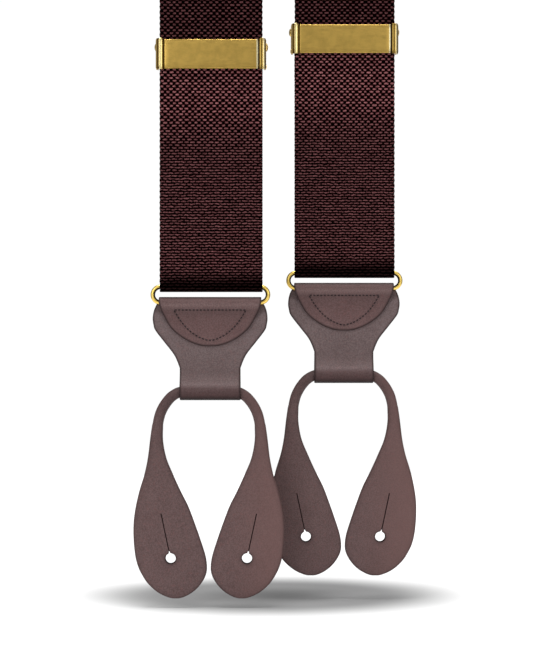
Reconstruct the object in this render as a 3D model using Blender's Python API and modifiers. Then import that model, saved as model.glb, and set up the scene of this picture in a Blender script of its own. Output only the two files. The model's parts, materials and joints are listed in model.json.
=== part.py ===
"""Button-on suspenders: two front straps with sliding brass adjusters, a leather yoke and
one elastic rear strap, each ending in a wire ring, a leather tab and a button loop.

Metres, +Z up. The front faces -Y and +X is to the viewer's right. The suspenders hang over
a level rail that runs along X, and the origin is the underside of the webbing on top of the
rail, midway between the two straps.
"""

from math import atan2, cos, pi, radians, sin, sqrt

import bmesh
import bpy
from mathutils import Vector

# Webbing, leather and the gaps between pieces
WEBBING_WIDTH = 0.038
WEBBING_THICKNESS = 0.0009
LEATHER_THICKNESS = 0.0010
WIRE_GAP = 0.0002
TOUCH_GAP = 0.0003

# How the object hangs
RAIL_RADIUS = 0.018
STRAP_GAP = 0.012
FRONT_DROP = 0.680
RIGHT_SIDE_RISE = 0.0058
LEFT_SWAY = -0.012
RIGHT_SWAY = 0.002
STRAIGHT_RUN = 0.230
FOLD_LEG = 0.012

# How far the ring, the tab and the loop sit off the middle of the strap
LEFT_RING_SHIFT = -0.0003
RIGHT_RING_SHIFT = 0.0
LEFT_TAB_SHIFT = -0.0004
LEFT_LOOP_SHIFT = -0.0009
RIGHT_TAB_SHIFT = -0.0002
RIGHT_LOOP_SHIFT = -0.0005

# Wire ring: the straight bars end a little inside the webbing's edges
WIRE_RADIUS = 0.00085
RING_WINDOW = 0.0018
BAR_REACH = -0.00065

# Leather tab: heights are measured down from the ring's lower bar
TAB_DROP = 0.03275
NECK_HALF_WIDTH = 0.0112
# (drop, reach beyond the webbing's edge), then (drop, reach beyond the neck)
TAB_SHOULDER = [
    (0.0, -0.0001), (0.0006, 0.0008), (0.0030, 0.0018), (0.0058, 0.0022), (0.0082, 0.0019),
    (0.0103, 0.0012),
]
TAB_NECK = [(0.0145, 0.0058), (0.0187, 0.0025), (0.0213, 0.0011), (0.0242, 0.0)]
# (drop, share of the webbing's half-width)
FLAP_SHAPE = [
    (0.0, 0.995), (0.0027, 0.953), (0.0061, 0.863), (0.0095, 0.753), (0.0122, 0.595),
    (0.0143, 0.416), (0.0154, 0.274), (0.0160, 0.137), (0.01615, 0.032),
]
TAB_CLOSE = 0.006
TAB_TAIL_TOP = 0.0020
TUNNEL_TAPER = 2.55

# Button loop: a round cord that ends in two flat paddles
CORD_RADIUS = 0.00195
CORD_CLEARANCE = 0.0004
CORD_ARCH = 0.0003
LOOP_DROP = 0.0766
PADDLE_THICKNESS = 0.0020
PADDLE_TOP = 0.0640
# (height above the foot, distance from the middle)
PADDLE_OUTER = [
    (PADDLE_TOP, 0.0210), (0.0560, 0.0220), (0.0490, 0.0231), (0.0405, 0.0255), (0.0330, 0.0271),
    (0.0260, 0.0278), (0.0200, 0.0276), (0.0150, 0.0270), (0.0110, 0.0258), (0.0080, 0.0243),
    (0.0050, 0.0219), (0.0025, 0.0191), (0.0008, 0.0157), (0.0, 0.0135),
]
PADDLE_INNER = [
    (0.0, 0.0112), (0.0010, 0.0083), (0.0030, 0.0053), (0.0060, 0.0025), (0.0090, 0.0010),
    (0.0120, 0.0007), (0.0160, 0.0013), (0.0230, 0.0036), (0.0320, 0.0068), (0.0405, 0.0108),
    (0.0478, 0.0140), (0.0550, 0.0165), (PADDLE_TOP, 0.0170),
]
HOLE_RADIUS = 0.0020
HOLE_HEIGHT = 0.0149
HOLE_OFFSET = 0.0141
SLIT_WIDTH = 0.0008
SLIT_LENGTH = 0.0150
SLIT_LEAN = radians(12)

# Sliding adjuster
ADJUSTER_HEIGHT = 0.0107
ADJUSTER_ABOVE_BAR = 0.0854
RIGHT_ADJUSTER_RISE = 0.003
PLATE_THICKNESS = 0.0008
PLATE_INSET = 0.0020
SIDE_CLEARANCE = 0.0005
ROLL_RADIUS = 0.00125
ROLL_EXTRA_HEIGHT = 0.0003
SIDE_WALL_BACK = 0.0033
HINGE_HEIGHT = 0.00325
HINGE_DEPTH = 0.0013
HINGE_PIN_RADIUS = 0.0007
HINGE_HEAD_RADIUS = 0.0015
HINGE_HEAD_HEIGHT = 0.00045
HEAD_GAP = 0.0001
PIN_GAP = 0.00015
END_BAR_HEIGHT = -0.00385
END_BAR_DEPTH = 0.0016
END_BAR_RADIUS = 0.0008
LEVER_THICKNESS = 0.0006
LEVER_FLAP_DEPTH = 0.0029
LEVER_FLAP_DROP = 0.0080
LEVER_LIP_DROP = 0.0013
LEVER_END_GAP = 0.0006
WEBBING_TAIL = 0.010

# Yoke and rear strap
YOKE_TOP = -0.075
YOKE_HEIGHT = 0.058
YOKE_THICKNESS = 0.0012
# (distance in from the straps' outer edges on the rail, height)
YOKE_SIDE = [(0.0090, 0.0), (0.0095, -0.010), (0.0140, -0.030), (0.0218, -0.053)]
YOKE_CORNER = 0.005
YOKE_NOTCH = 0.0045
YOKE_LAP = 0.030
YOKE_ELASTIC_LAP = 0.022
STRAP_LEAN = radians(7.5)
REAR_DROP = 0.380
REAR_LEG = 0.030
REAR_TAIL = 0.022

COLOURS = {
    "webbing": ((0.105, 0.035, 0.042, 1.0), 0.85, 0.0),
    "elastic": ((0.085, 0.030, 0.036, 1.0), 0.85, 0.0),
    "leather": ((0.150, 0.088, 0.084, 1.0), 0.55, 0.0),
    "brass": ((0.560, 0.400, 0.120, 1.0), 0.30, 1.0),
}
X_AXIS = Vector((1.0, 0.0, 0.0))
HALF_WEBBING = WEBBING_WIDTH / 2
STRAP_SPACING = WEBBING_WIDTH + STRAP_GAP
PLATE_WIDTH = WEBBING_WIDTH - 2 * PLATE_INSET
TAB_BODY = [(drop, HALF_WEBBING + reach) for drop, reach in TAB_SHOULDER]
TAB_BODY += [(drop, NECK_HALF_WIDTH + reach) for drop, reach in TAB_NECK]
TAB_FLAP = [(drop, HALF_WEBBING * share) for drop, share in FLAP_SHAPE]
OUTER_EDGE = STRAP_SPACING / 2 + HALF_WEBBING
YOKE_OUTLINE = [(OUTER_EDGE - inset, height) for inset, height in YOKE_SIDE]
FOLD_RADIUS = WIRE_RADIUS + WIRE_GAP + WEBBING_THICKNESS / 2
LEATHER_FOLD_RADIUS = WIRE_RADIUS + WIRE_GAP + LEATHER_THICKNESS / 2
LEATHER_PITCH = LEATHER_THICKNESS + TOUCH_GAP
BAR_SPACING = (
    2 * WIRE_RADIUS + 2 * WIRE_GAP + WEBBING_THICKNESS + LEATHER_THICKNESS + RING_WINDOW
)
TUNNEL_RADIUS = CORD_RADIUS + CORD_CLEARANCE + LEATHER_THICKNESS / 2
TUNNEL_DEPTH = LEATHER_PITCH / 2
TUNNEL_RISE = TUNNEL_TAPER * TUNNEL_RADIUS
BAR_HEIGHT = LOOP_DROP + TAB_DROP + BAR_SPACING
WRAP_RADIUS = END_BAR_RADIUS + WIRE_GAP + WEBBING_THICKNESS / 2
STRAP_DEPTH = RAIL_RADIUS + WEBBING_THICKNESS / 2


def clear_scene():
    for obj in list(bpy.data.objects):
        bpy.data.objects.remove(obj, do_unlink=True)


def new_collection(name, hidden=False):
    collection = bpy.data.collections.new(name)
    bpy.context.scene.collection.children.link(collection)
    collection.hide_render = hidden
    return collection


clear_scene()
PARTS = new_collection("suspenders")
CUTTERS = new_collection("cutters", hidden=True)


def finish_piece(obj, kind):
    """Files the object as a piece, with its own material and smooth round faces."""
    colour, roughness, metallic = COLOURS[kind]
    material = bpy.data.materials.new(obj.name)
    material.use_nodes = True
    shader = material.node_tree.nodes["Principled BSDF"]
    shader.inputs["Base Color"].default_value = colour
    shader.inputs["Roughness"].default_value = roughness
    shader.inputs["Metallic"].default_value = metallic
    obj.data.materials.append(material)
    PARTS.objects.link(obj)
    if obj.type == "MESH":
        obj.data.shade_smooth()
        obj.data.set_sharp_from_angle(angle=radians(35))
    return obj


def finish_helper(obj):
    """Files the object as a cutter or a blank for a union, which isn't a piece."""
    CUTTERS.objects.link(obj)
    obj.hide_render = True
    obj.display_type = "WIRE"
    return obj


def add_boolean(obj, other, operation):
    modifier = obj.modifiers.new(operation.lower() + "_" + other.name, "BOOLEAN")
    modifier.operation = operation
    modifier.object = other


def smoothstep(value):
    value = min(max(value, 0.0), 1.0)
    return value * value * (3 - 2 * value)


def width_at(outline, drop):
    """Half-width of an outline given as (drop, half-width) points."""
    if drop <= outline[0][0]:
        return outline[0][1]
    for (low, narrow), (high, wide) in zip(outline, outline[1:]):
        if drop <= high:
            return narrow + (wide - narrow) * (drop - low) / (high - low)
    return outline[-1][1]


def ribbon(name, path, half_widths, thickness, location, sides=None):
    """A flat strip along a path: an open surface, thickened both ways."""
    mesh = bpy.data.meshes.new(name)
    sheet = bmesh.new()
    rows = []
    for index, point in enumerate(path):
        side = sides[index] if sides else X_AXIS
        reach = half_widths[index] if isinstance(half_widths, list) else half_widths
        rows.append([sheet.verts.new(Vector(point) + side * reach * end) for end in (-1, 1)])
    for (a, b), (d, c) in zip(rows, rows[1:]):
        sheet.faces.new((a, b, c, d))
    sheet.to_mesh(mesh)
    sheet.free()
    obj = bpy.data.objects.new(name, mesh)
    obj.location = location
    shell = obj.modifiers.new("thickness", "SOLIDIFY")
    shell.thickness = thickness
    shell.offset = 0.0
    shell.use_even_offset = True
    return obj


def profile_path(points):
    """Points in the plane of depth and height, as a path at X = 0."""
    return [Vector((0.0, depth, height)) for depth, height in points]


def arc(centre, radius, start, end, steps):
    """Points on an arc from one angle to another, in degrees."""
    angles = [radians(start + (end - start) * step / steps) for step in range(steps + 1)]
    return [(centre[0] + radius * cos(a), centre[1] + radius * sin(a)) for a in angles]


def wire(name, points, radius, cyclic, location):
    curve = bpy.data.curves.new(name, "CURVE")
    curve.dimensions = "3D"
    curve.bevel_depth = radius
    curve.bevel_resolution = 2
    curve.use_fill_caps = not cyclic
    spline = curve.splines.new("POLY")
    spline.points.add(len(points) - 1)
    spline.use_cyclic_u = cyclic
    for target, point in zip(spline.points, points):
        target.co = (*point, 1.0)
    obj = bpy.data.objects.new(name, curve)
    obj.location = location
    return obj


def flat_outline(name, points, thickness, location):
    """A closed outline in X and Z, extruded along Y."""
    curve = bpy.data.curves.new(name, "CURVE")
    curve.dimensions = "2D"
    curve.fill_mode = "BOTH"
    curve.extrude = thickness / 2
    spline = curve.splines.new("POLY")
    spline.points.add(len(points) - 1)
    spline.use_cyclic_u = True
    for target, (x, z) in zip(spline.points, points):
        target.co = (x, z, 0.0, 1.0)
    obj = bpy.data.objects.new(name, curve)
    obj.location = location
    obj.rotation_euler = (pi / 2, 0.0, 0.0)
    return obj


def curve_to_mesh(obj):
    """Turns a curve object into a welded mesh object in the same place."""
    scratch = bpy.context.scene.collection
    scratch.objects.link(obj)
    graph = bpy.context.evaluated_depsgraph_get()
    evaluated = obj.evaluated_get(graph)
    mesh = bpy.data.meshes.new_from_object(evaluated)
    matrix = evaluated.matrix_world.copy()
    name = obj.name
    bpy.data.objects.remove(obj)
    welded = bmesh.new()
    welded.from_mesh(mesh)
    bmesh.ops.remove_doubles(welded, verts=welded.verts, dist=0.00001)
    bmesh.ops.recalc_face_normals(welded, faces=welded.faces)
    welded.to_mesh(mesh)
    welded.free()
    result = bpy.data.objects.new(name, mesh)
    result.matrix_world = matrix
    return result


def turned_pin(name, profile, location):
    """A pin along X, turned from (radius, height) points that run from its +Z end down."""
    mesh = bpy.data.meshes.new(name)
    mesh.from_pydata(
        [(radius, 0.0, height) for radius, height in profile],
        [(index, index + 1) for index in range(len(profile) - 1)],
        [],
    )
    obj = bpy.data.objects.new(name, mesh)
    obj.location = location
    obj.rotation_euler = (0.0, pi / 2, 0.0)
    turn = obj.modifiers.new("turn", "SCREW")
    turn.steps = 12
    turn.render_steps = 12
    turn.use_merge_vertices = True
    turn.merge_threshold = 0.00001
    return obj


def cross_hole(name, radius, length, location):
    """A round cutter along X."""
    mesh = bpy.data.meshes.new(name)
    drill = bmesh.new()
    bmesh.ops.create_cone(
        drill, cap_ends=True, segments=16, radius1=radius, radius2=radius, depth=length
    )
    drill.to_mesh(mesh)
    drill.free()
    obj = bpy.data.objects.new(name, mesh)
    obj.location = location
    obj.rotation_euler = (0.0, pi / 2, 0.0)
    return finish_helper(obj)


# Straps over the rail


def strap_path(side, sway, front_bottom, back_layer):
    """Centre line and width direction of a strap, from its front run to its end in the yoke."""
    front_length = -front_bottom - RAIL_RADIUS
    rail_length = pi * STRAP_DEPTH
    back_length = -YOKE_TOP - RAIL_RADIUS + YOKE_LAP
    lengths = [-front_length * (1 - step / 12) for step in range(12)]
    lengths += [rail_length * step / 16 for step in range(16)]
    lengths += [rail_length + back_length * step / 8 for step in range(9)]
    points = []
    sides = []
    x = side * STRAP_SPACING / 2
    previous = lengths[0]
    for length in lengths:
        lean = STRAP_LEAN * smoothstep(length / rail_length)
        x -= side * sin(lean) * (length - previous)
        previous = length
        if length < 0:
            depth = -STRAP_DEPTH + sway * smoothstep(-length / (front_length * 0.9))
            point = Vector((x, depth, length - RAIL_RADIUS))
            outward = Vector((0.0, -1.0, 0.0))
            along = Vector((0.0, 0.0, 1.0))
        elif length < rail_length:
            turn = pi - length / STRAP_DEPTH
            outward = Vector((0.0, cos(turn), sin(turn)))
            reach = STRAP_DEPTH + back_layer * smoothstep(2 * length / rail_length - 1)
            point = outward * reach + Vector((x, 0.0, -RAIL_RADIUS))
            along = Vector((0.0, sin(turn), -cos(turn)))
        else:
            down = length - rail_length
            point = Vector((x, STRAP_DEPTH + back_layer, -RAIL_RADIUS - down))
            outward = Vector((0.0, 1.0, 0.0))
            along = Vector((0.0, 0.0, -1.0))
        heading = along * cos(lean) - X_AXIS * side * sin(lean)
        points.append(point)
        sides.append(heading.cross(outward).normalized())
    return points, sides


def strap_over_rail(name, side, sway, front_bottom, back_layer):
    points, sides = strap_path(side, sway, front_bottom, back_layer)
    strap = ribbon(name, points, HALF_WEBBING, WEBBING_THICKNESS, (0, 0, 0), sides)
    return finish_piece(strap, "webbing")


def webbing_run(name, kind, depth, top, bottom, x):
    """A straight, upright stretch of webbing."""
    path = profile_path([(depth, top), (depth, bottom)])
    return finish_piece(
        ribbon(name, path, HALF_WEBBING, WEBBING_THICKNESS, (x, 0, 0)), kind
    )


def webbing_fold(name, kind, bar, front_leg, back_leg):
    """Webbing down in front of a ring's bar, round under it and up behind."""
    points = [(-FOLD_RADIUS, front_leg)]
    points += arc((0.0, 0.0), FOLD_RADIUS, 180, 360, 10)
    points += [(FOLD_RADIUS, back_leg)]
    path = profile_path(points)
    return finish_piece(ribbon(name, path, HALF_WEBBING, WEBBING_THICKNESS, bar), kind)


def webbing_return(name, bar, bottom, end_bar_rise):
    """Webbing behind the strap, up to the adjuster and sewn round its end bar."""
    end_depth = END_BAR_DEPTH
    inner = end_depth - WRAP_RADIUS
    points = [(FOLD_RADIUS, bottom)]
    steps = 6
    start = end_bar_rise - 0.022
    length = end_bar_rise - start
    for step in range(steps + 1):
        share = step / steps
        depth = FOLD_RADIUS + (inner - FOLD_RADIUS) * smoothstep(share)
        points.append((depth, start + length * share))
    points += arc((end_depth, end_bar_rise), WRAP_RADIUS, 180, 0, 8)[1:]
    points.append((end_depth + WRAP_RADIUS, end_bar_rise - WEBBING_TAIL))
    path = profile_path(points)
    return finish_piece(ribbon(name, path, HALF_WEBBING, WEBBING_THICKNESS, bar), "webbing")


# Wire ring, leather tab and button loop


def wire_ring(name, bar):
    """A long ring of wire whose upper bar lies on the object's origin."""
    bend = BAR_SPACING / 2
    straight = HALF_WEBBING + BAR_REACH
    points = arc((straight, -bend), bend, 90, -90, 12)
    points += arc((-straight, -bend), bend, 270, 90, 12)
    loop = [Vector((x, 0.0, z)) for x, z in points]
    return finish_piece(wire(name, loop, WIRE_RADIUS, True, bar), "brass")


def tab_body_depth(drop):
    """Depth of the tab's front ply behind the flap, from the ring down to the tunnel."""
    closing = LEATHER_FOLD_RADIUS * (1 - smoothstep(drop / TAB_CLOSE))
    opening = (TUNNEL_RADIUS - TUNNEL_DEPTH) * smoothstep(1 - (TAB_DROP - drop) / TUNNEL_RISE)
    return closing - opening


def tab_tail_depth(drop):
    """Depth of the tab's rear ply, which comes back up from the tunnel."""
    closing = LEATHER_FOLD_RADIUS * (1 - smoothstep(drop / TAB_CLOSE))
    opening = (TUNNEL_RADIUS + TUNNEL_DEPTH - LEATHER_PITCH) * smoothstep(
        1 - (TAB_DROP - drop) / TUNNEL_RISE
    )
    return LEATHER_PITCH + closing + opening


def leather_tab(name, bar):
    """One strip of leather: flap, over the ring, down, round the cord and back up."""
    rows = []
    for drop, reach in reversed(TAB_FLAP[1:]):
        ease = 1 - smoothstep(drop / TAB_CLOSE)
        depth = -LEATHER_PITCH - (LEATHER_FOLD_RADIUS - LEATHER_PITCH) * ease
        rows.append((depth, -drop, reach))
    top = TAB_FLAP[0][1]
    rows += [(*point, top) for point in arc((0, 0), LEATHER_FOLD_RADIUS, 180, 0, 10)]
    steps = 30
    for step in range(1, steps):
        drop = TAB_DROP * step / steps
        rows.append((tab_body_depth(drop), -drop, width_at(TAB_BODY, drop)))
    neck = NECK_HALF_WIDTH
    turn = arc((TUNNEL_DEPTH, -TAB_DROP), TUNNEL_RADIUS, 180, 360, 12)
    rows += [(*point, neck) for point in turn]
    for step in range(1, steps):
        drop = TAB_DROP + (TAB_TAIL_TOP - TAB_DROP) * step / (steps - 1)
        rows.append((tab_tail_depth(drop), -drop, neck))
    path = profile_path([row[:2] for row in rows])
    widths = [row[2] for row in rows]
    return finish_piece(ribbon(name, path, widths, LEATHER_THICKNESS, bar), "leather")


def cord_route():
    """Centre line of the cord's +X half, from the tab's middle to the paddle."""
    neck = NECK_HALF_WIDTH
    low = PADDLE_TOP - 0.006 - LOOP_DROP
    exit_bend = neck + 0.3 * CORD_RADIUS
    points = [(0.0, CORD_ARCH), (neck / 2, CORD_ARCH / 2), (exit_bend, -CORD_ARCH)]
    points += [(0.0139, -0.0016), (0.0158, -0.0038), (0.0176, -0.0075), (0.0187, -0.0115)]
    points += [(0.0191, -0.0150), (0.0190, low)]
    return points


def paddle_outline():
    """Outline of the +X paddle, down the outer edge and up the inner one."""
    return [(x, height - LOOP_DROP) for height, x in PADDLE_OUTER + PADDLE_INNER]


def keyhole_outline(side):
    """A round buttonhole with a slit that leans outward above it."""
    half = SLIT_WIDTH / 2
    opening = 90 - atan2(half, sqrt(HOLE_RADIUS**2 - half**2)) * 180 / pi
    ring = arc((0.0, 0.0), HOLE_RADIUS, opening, opening - 360 + 2 * (90 - opening), 14)
    top = SLIT_LENGTH + HOLE_RADIUS
    points = ring + [(-half, top), (half, top)]
    lean = SLIT_LEAN * side
    turned = [(x * cos(lean) + z * sin(lean), z * cos(lean) - x * sin(lean)) for x, z in points]
    return [(x + side * HOLE_OFFSET, z + HOLE_HEIGHT - LOOP_DROP) for x, z in turned]


def button_loop(name, tunnel):
    half = cord_route()
    route = [(-x, z) for x, z in reversed(half[1:])] + half
    points = [Vector((x, 0.0, z)) for x, z in route]
    loop = curve_to_mesh(wire(name, points, CORD_RADIUS, False, tunnel))
    outline = paddle_outline()
    for side, label in ((-1, "a"), (1, "b")):
        blank = flat_outline(
            name + "_paddle_" + label,
            [(side * x, z) for x, z in outline],
            PADDLE_THICKNESS,
            tunnel,
        )
        add_boolean(loop, finish_helper(curve_to_mesh(blank)), "UNION")
        cutter = flat_outline(
            name + "_keyhole_" + label, keyhole_outline(side), 4 * PADDLE_THICKNESS, tunnel
        )
        add_boolean(loop, finish_helper(curve_to_mesh(cutter)), "DIFFERENCE")
    return finish_piece(loop, "leather")


def hanging_end(prefix, bar, ring_shift=0.0, tab_shift=0.0, loop_shift=0.0):
    """Ring, tab and button loop on the webbing fold round the upper bar."""
    lower_bar = bar - Vector((0.0, 0.0, BAR_SPACING))
    tunnel = lower_bar + Vector((loop_shift, TUNNEL_DEPTH, -TAB_DROP))
    wire_ring(prefix + "_ring", bar + X_AXIS * ring_shift)
    leather_tab(prefix + "_tab", lower_bar + X_AXIS * tab_shift)
    button_loop(prefix + "_button_loop", tunnel)


# Sliding adjuster


def adjuster_profile():
    """The stamped sheet seen from above: side wall, rolled edge, plate and the same again."""
    wall = HALF_WEBBING + SIDE_CLEARANCE + PLATE_THICKNESS / 2
    front = -(FOLD_RADIUS + WEBBING_THICKNESS / 2 + TOUCH_GAP + PLATE_THICKNESS / 2)
    roll = (wall - ROLL_RADIUS, front + 0.00035)
    half = [(wall, SIDE_WALL_BACK), (wall, roll[1])]
    half += arc(roll, ROLL_RADIUS, 0, -150, 9)[1:]
    half += [(PLATE_WIDTH / 2, front)]
    return half + [(-x, y) for x, y in reversed(half)]


def adjuster_frame(name, centre):
    profile = adjuster_profile()
    plate = ADJUSTER_HEIGHT / 2
    channel = plate + ROLL_EXTRA_HEIGHT
    path = [Vector((x, y, 0.0)) for x, y in profile]
    heights = [plate if abs(x) <= PLATE_WIDTH / 2 else channel for x, y in profile]
    upward = [Vector((0.0, 0.0, -1.0))] * len(path)
    frame = ribbon(name, path, heights, PLATE_THICKNESS, centre, upward)
    length = 2 * (HALF_WEBBING + SIDE_CLEARANCE + PLATE_THICKNESS) + 0.004
    hinge = cross_hole(
        name + "_hinge_hole",
        HINGE_PIN_RADIUS + PIN_GAP,
        length,
        centre + Vector((0.0, HINGE_DEPTH, HINGE_HEIGHT)),
    )
    end = cross_hole(
        name + "_end_bar_hole",
        END_BAR_RADIUS + PIN_GAP,
        length,
        centre + Vector((0.0, END_BAR_DEPTH, END_BAR_HEIGHT)),
    )
    add_boolean(frame, hinge, "DIFFERENCE")
    add_boolean(frame, end, "DIFFERENCE")
    return finish_piece(frame, "brass")


def adjuster_pins(prefix, centre):
    """The lever's hinge pin, whose domed heads show at the sides, and the webbing's end bar."""
    wall = HALF_WEBBING + SIDE_CLEARANCE + PLATE_THICKNESS
    seat = wall + HEAD_GAP
    tip = seat + HINGE_HEAD_HEIGHT
    upper = [(0.0, tip), (HINGE_HEAD_RADIUS * 0.6, tip - HINGE_HEAD_HEIGHT * 0.2)]
    upper += [(HINGE_HEAD_RADIUS, seat), (HINGE_PIN_RADIUS, seat)]
    lower = [(radius, -height) for radius, height in reversed(upper)]
    hinge = turned_pin(
        prefix + "_adjuster_hinge_pin",
        upper + lower,
        centre + Vector((0.0, HINGE_DEPTH, HINGE_HEIGHT)),
    )
    finish_piece(hinge, "brass")
    ends = [(0.0, wall), (END_BAR_RADIUS, wall), (END_BAR_RADIUS, -wall), (0.0, -wall)]
    bar = turned_pin(
        prefix + "_adjuster_end_bar",
        ends,
        centre + Vector((0.0, END_BAR_DEPTH, END_BAR_HEIGHT)),
    )
    finish_piece(bar, "brass")


def adjuster_lever(name, hinge):
    """A lip that grips the webbing, a roll round the hinge pin and a flap to lift."""
    roll = HINGE_PIN_RADIUS + PIN_GAP + LEVER_THICKNESS / 2
    webbing_back = HINGE_DEPTH + FOLD_RADIUS - WEBBING_THICKNESS / 2
    lip = -(webbing_back - TOUCH_GAP - LEVER_THICKNESS / 2)
    points = [(lip, -LEVER_LIP_DROP)]
    points += arc((0.0, 0.0), roll, 180, 0, 10)
    points += [(LEVER_FLAP_DEPTH * 0.72, -0.0018), (LEVER_FLAP_DEPTH, -0.0032)]
    points += [(LEVER_FLAP_DEPTH, -LEVER_FLAP_DROP)]
    reach = HALF_WEBBING + SIDE_CLEARANCE - LEVER_END_GAP
    lever = ribbon(name, profile_path(points), reach, LEVER_THICKNESS, hinge)
    return finish_piece(lever, "brass")


# Yoke


def yoke_patch(name, depth):
    corner = YOKE_OUTLINE[-1][0] - YOKE_CORNER
    foot = arc((corner, YOKE_CORNER - YOKE_HEIGHT), YOKE_CORNER, 0, -90, 4)
    half = YOKE_OUTLINE + foot
    outline = half + [(-x, z) for x, z in reversed(half)] + [(0.0, -YOKE_NOTCH)]
    patch = curve_to_mesh(flat_outline(name, outline, YOKE_THICKNESS, (0, depth, YOKE_TOP)))
    return finish_piece(patch, "leather")


def front_side(prefix, side, sway, rise, adjuster_rise, shifts, back_layer):
    depth = -STRAP_DEPTH + sway + FOLD_RADIUS
    bar = Vector((side * STRAP_SPACING / 2, depth, -FRONT_DROP + rise + BAR_HEIGHT))
    split = bar.z + STRAIGHT_RUN
    front = depth - FOLD_RADIUS
    strap_over_rail(prefix + "_strap", side, sway, split + TOUCH_GAP, back_layer)
    webbing_run(prefix + "_strap_run", "webbing", front, split, bar.z + FOLD_LEG + TOUCH_GAP, bar.x)
    webbing_fold(prefix + "_strap_fold", "webbing", bar, FOLD_LEG, FOLD_LEG)
    centre = Vector((bar.x, bar.y, bar.z + ADJUSTER_ABOVE_BAR + adjuster_rise))
    end_bar_rise = centre.z + END_BAR_HEIGHT - bar.z
    webbing_return(prefix + "_strap_return", bar, FOLD_LEG + TOUCH_GAP, end_bar_rise)
    adjuster_frame(prefix + "_adjuster_frame", centre)
    adjuster_pins(prefix, centre)
    hinge = centre + Vector((0.0, HINGE_DEPTH, HINGE_HEIGHT))
    adjuster_lever(prefix + "_adjuster_lever", hinge)
    hanging_end(prefix, bar, *shifts)


def rear_side(layer):
    """Yoke, elastic strap and the rear end."""
    stack = WEBBING_THICKNESS / 2 + TOUCH_GAP + YOKE_THICKNESS / 2
    yoke_patch("yoke_front_patch", STRAP_DEPTH - stack)
    yoke_patch("yoke_back_patch", STRAP_DEPTH + layer + stack)
    front = STRAP_DEPTH + layer / 2
    bar = Vector((0.0, front + FOLD_RADIUS, -REAR_DROP + BAR_HEIGHT))
    top = YOKE_TOP - YOKE_HEIGHT + YOKE_ELASTIC_LAP
    split = bar.z + REAR_LEG
    webbing_run("rear_elastic", "elastic", front, top, split + TOUCH_GAP, 0.0)
    webbing_fold("rear_elastic_fold", "elastic", bar, REAR_LEG, REAR_TAIL)
    hanging_end("rear", bar)


STRAP_LAYER = WEBBING_THICKNESS + TOUCH_GAP
LEFT_SHIFTS = (LEFT_RING_SHIFT, LEFT_TAB_SHIFT, LEFT_LOOP_SHIFT)
RIGHT_SHIFTS = (RIGHT_RING_SHIFT, RIGHT_TAB_SHIFT, RIGHT_LOOP_SHIFT)
front_side("left", -1, LEFT_SWAY, 0.0, 0.0, LEFT_SHIFTS, 0.0)
front_side("right", 1, RIGHT_SWAY, RIGHT_SIDE_RISE, RIGHT_ADJUSTER_RISE, RIGHT_SHIFTS, STRAP_LAYER)
rear_side(STRAP_LAYER)
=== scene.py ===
"""Looks of the button-on suspenders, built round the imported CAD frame.

Metres, +Z up, the front faces -Y. Every visible piece is a finer mesh in the place of its CAD
node: woven webbing, grained leather, thread, satin brass and polished wire. Meshes carry an
attribute called "surface": across, along and distance from the edge, in millimetres. On the wire
ring it holds how far a point faces inward, and on the adjuster the distance from its side.
"""

import json
from math import cos, pi, radians, sin

import bmesh
import bpy
import numpy as np
from mathutils import Matrix, Vector

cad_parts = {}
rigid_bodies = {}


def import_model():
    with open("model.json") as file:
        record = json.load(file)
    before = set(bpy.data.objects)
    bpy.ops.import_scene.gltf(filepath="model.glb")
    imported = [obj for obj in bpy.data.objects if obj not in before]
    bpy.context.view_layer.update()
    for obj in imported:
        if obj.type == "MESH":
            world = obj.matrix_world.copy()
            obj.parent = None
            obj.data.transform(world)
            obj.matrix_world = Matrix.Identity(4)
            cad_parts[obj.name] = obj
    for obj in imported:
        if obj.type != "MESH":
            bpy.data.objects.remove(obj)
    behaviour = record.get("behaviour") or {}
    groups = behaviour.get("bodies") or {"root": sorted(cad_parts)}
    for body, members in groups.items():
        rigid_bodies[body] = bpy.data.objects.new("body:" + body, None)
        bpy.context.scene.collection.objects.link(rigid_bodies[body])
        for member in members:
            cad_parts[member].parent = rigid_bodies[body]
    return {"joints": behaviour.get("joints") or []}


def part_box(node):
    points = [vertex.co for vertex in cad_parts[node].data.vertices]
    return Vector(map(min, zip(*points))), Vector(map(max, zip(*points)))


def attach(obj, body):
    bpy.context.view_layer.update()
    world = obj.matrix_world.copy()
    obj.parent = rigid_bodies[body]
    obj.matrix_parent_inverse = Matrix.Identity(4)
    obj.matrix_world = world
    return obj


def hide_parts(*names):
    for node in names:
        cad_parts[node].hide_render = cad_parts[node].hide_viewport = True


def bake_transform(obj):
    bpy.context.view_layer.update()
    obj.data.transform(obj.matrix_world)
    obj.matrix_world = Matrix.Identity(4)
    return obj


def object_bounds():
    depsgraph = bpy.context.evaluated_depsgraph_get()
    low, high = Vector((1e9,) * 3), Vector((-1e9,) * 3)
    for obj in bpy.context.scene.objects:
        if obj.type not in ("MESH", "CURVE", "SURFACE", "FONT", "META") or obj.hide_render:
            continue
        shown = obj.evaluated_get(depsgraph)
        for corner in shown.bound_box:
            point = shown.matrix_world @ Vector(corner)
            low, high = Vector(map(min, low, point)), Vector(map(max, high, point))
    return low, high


for leftover in list(bpy.data.objects):
    bpy.data.objects.remove(leftover, do_unlink=True)

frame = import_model()
CAD_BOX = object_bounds()

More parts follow.
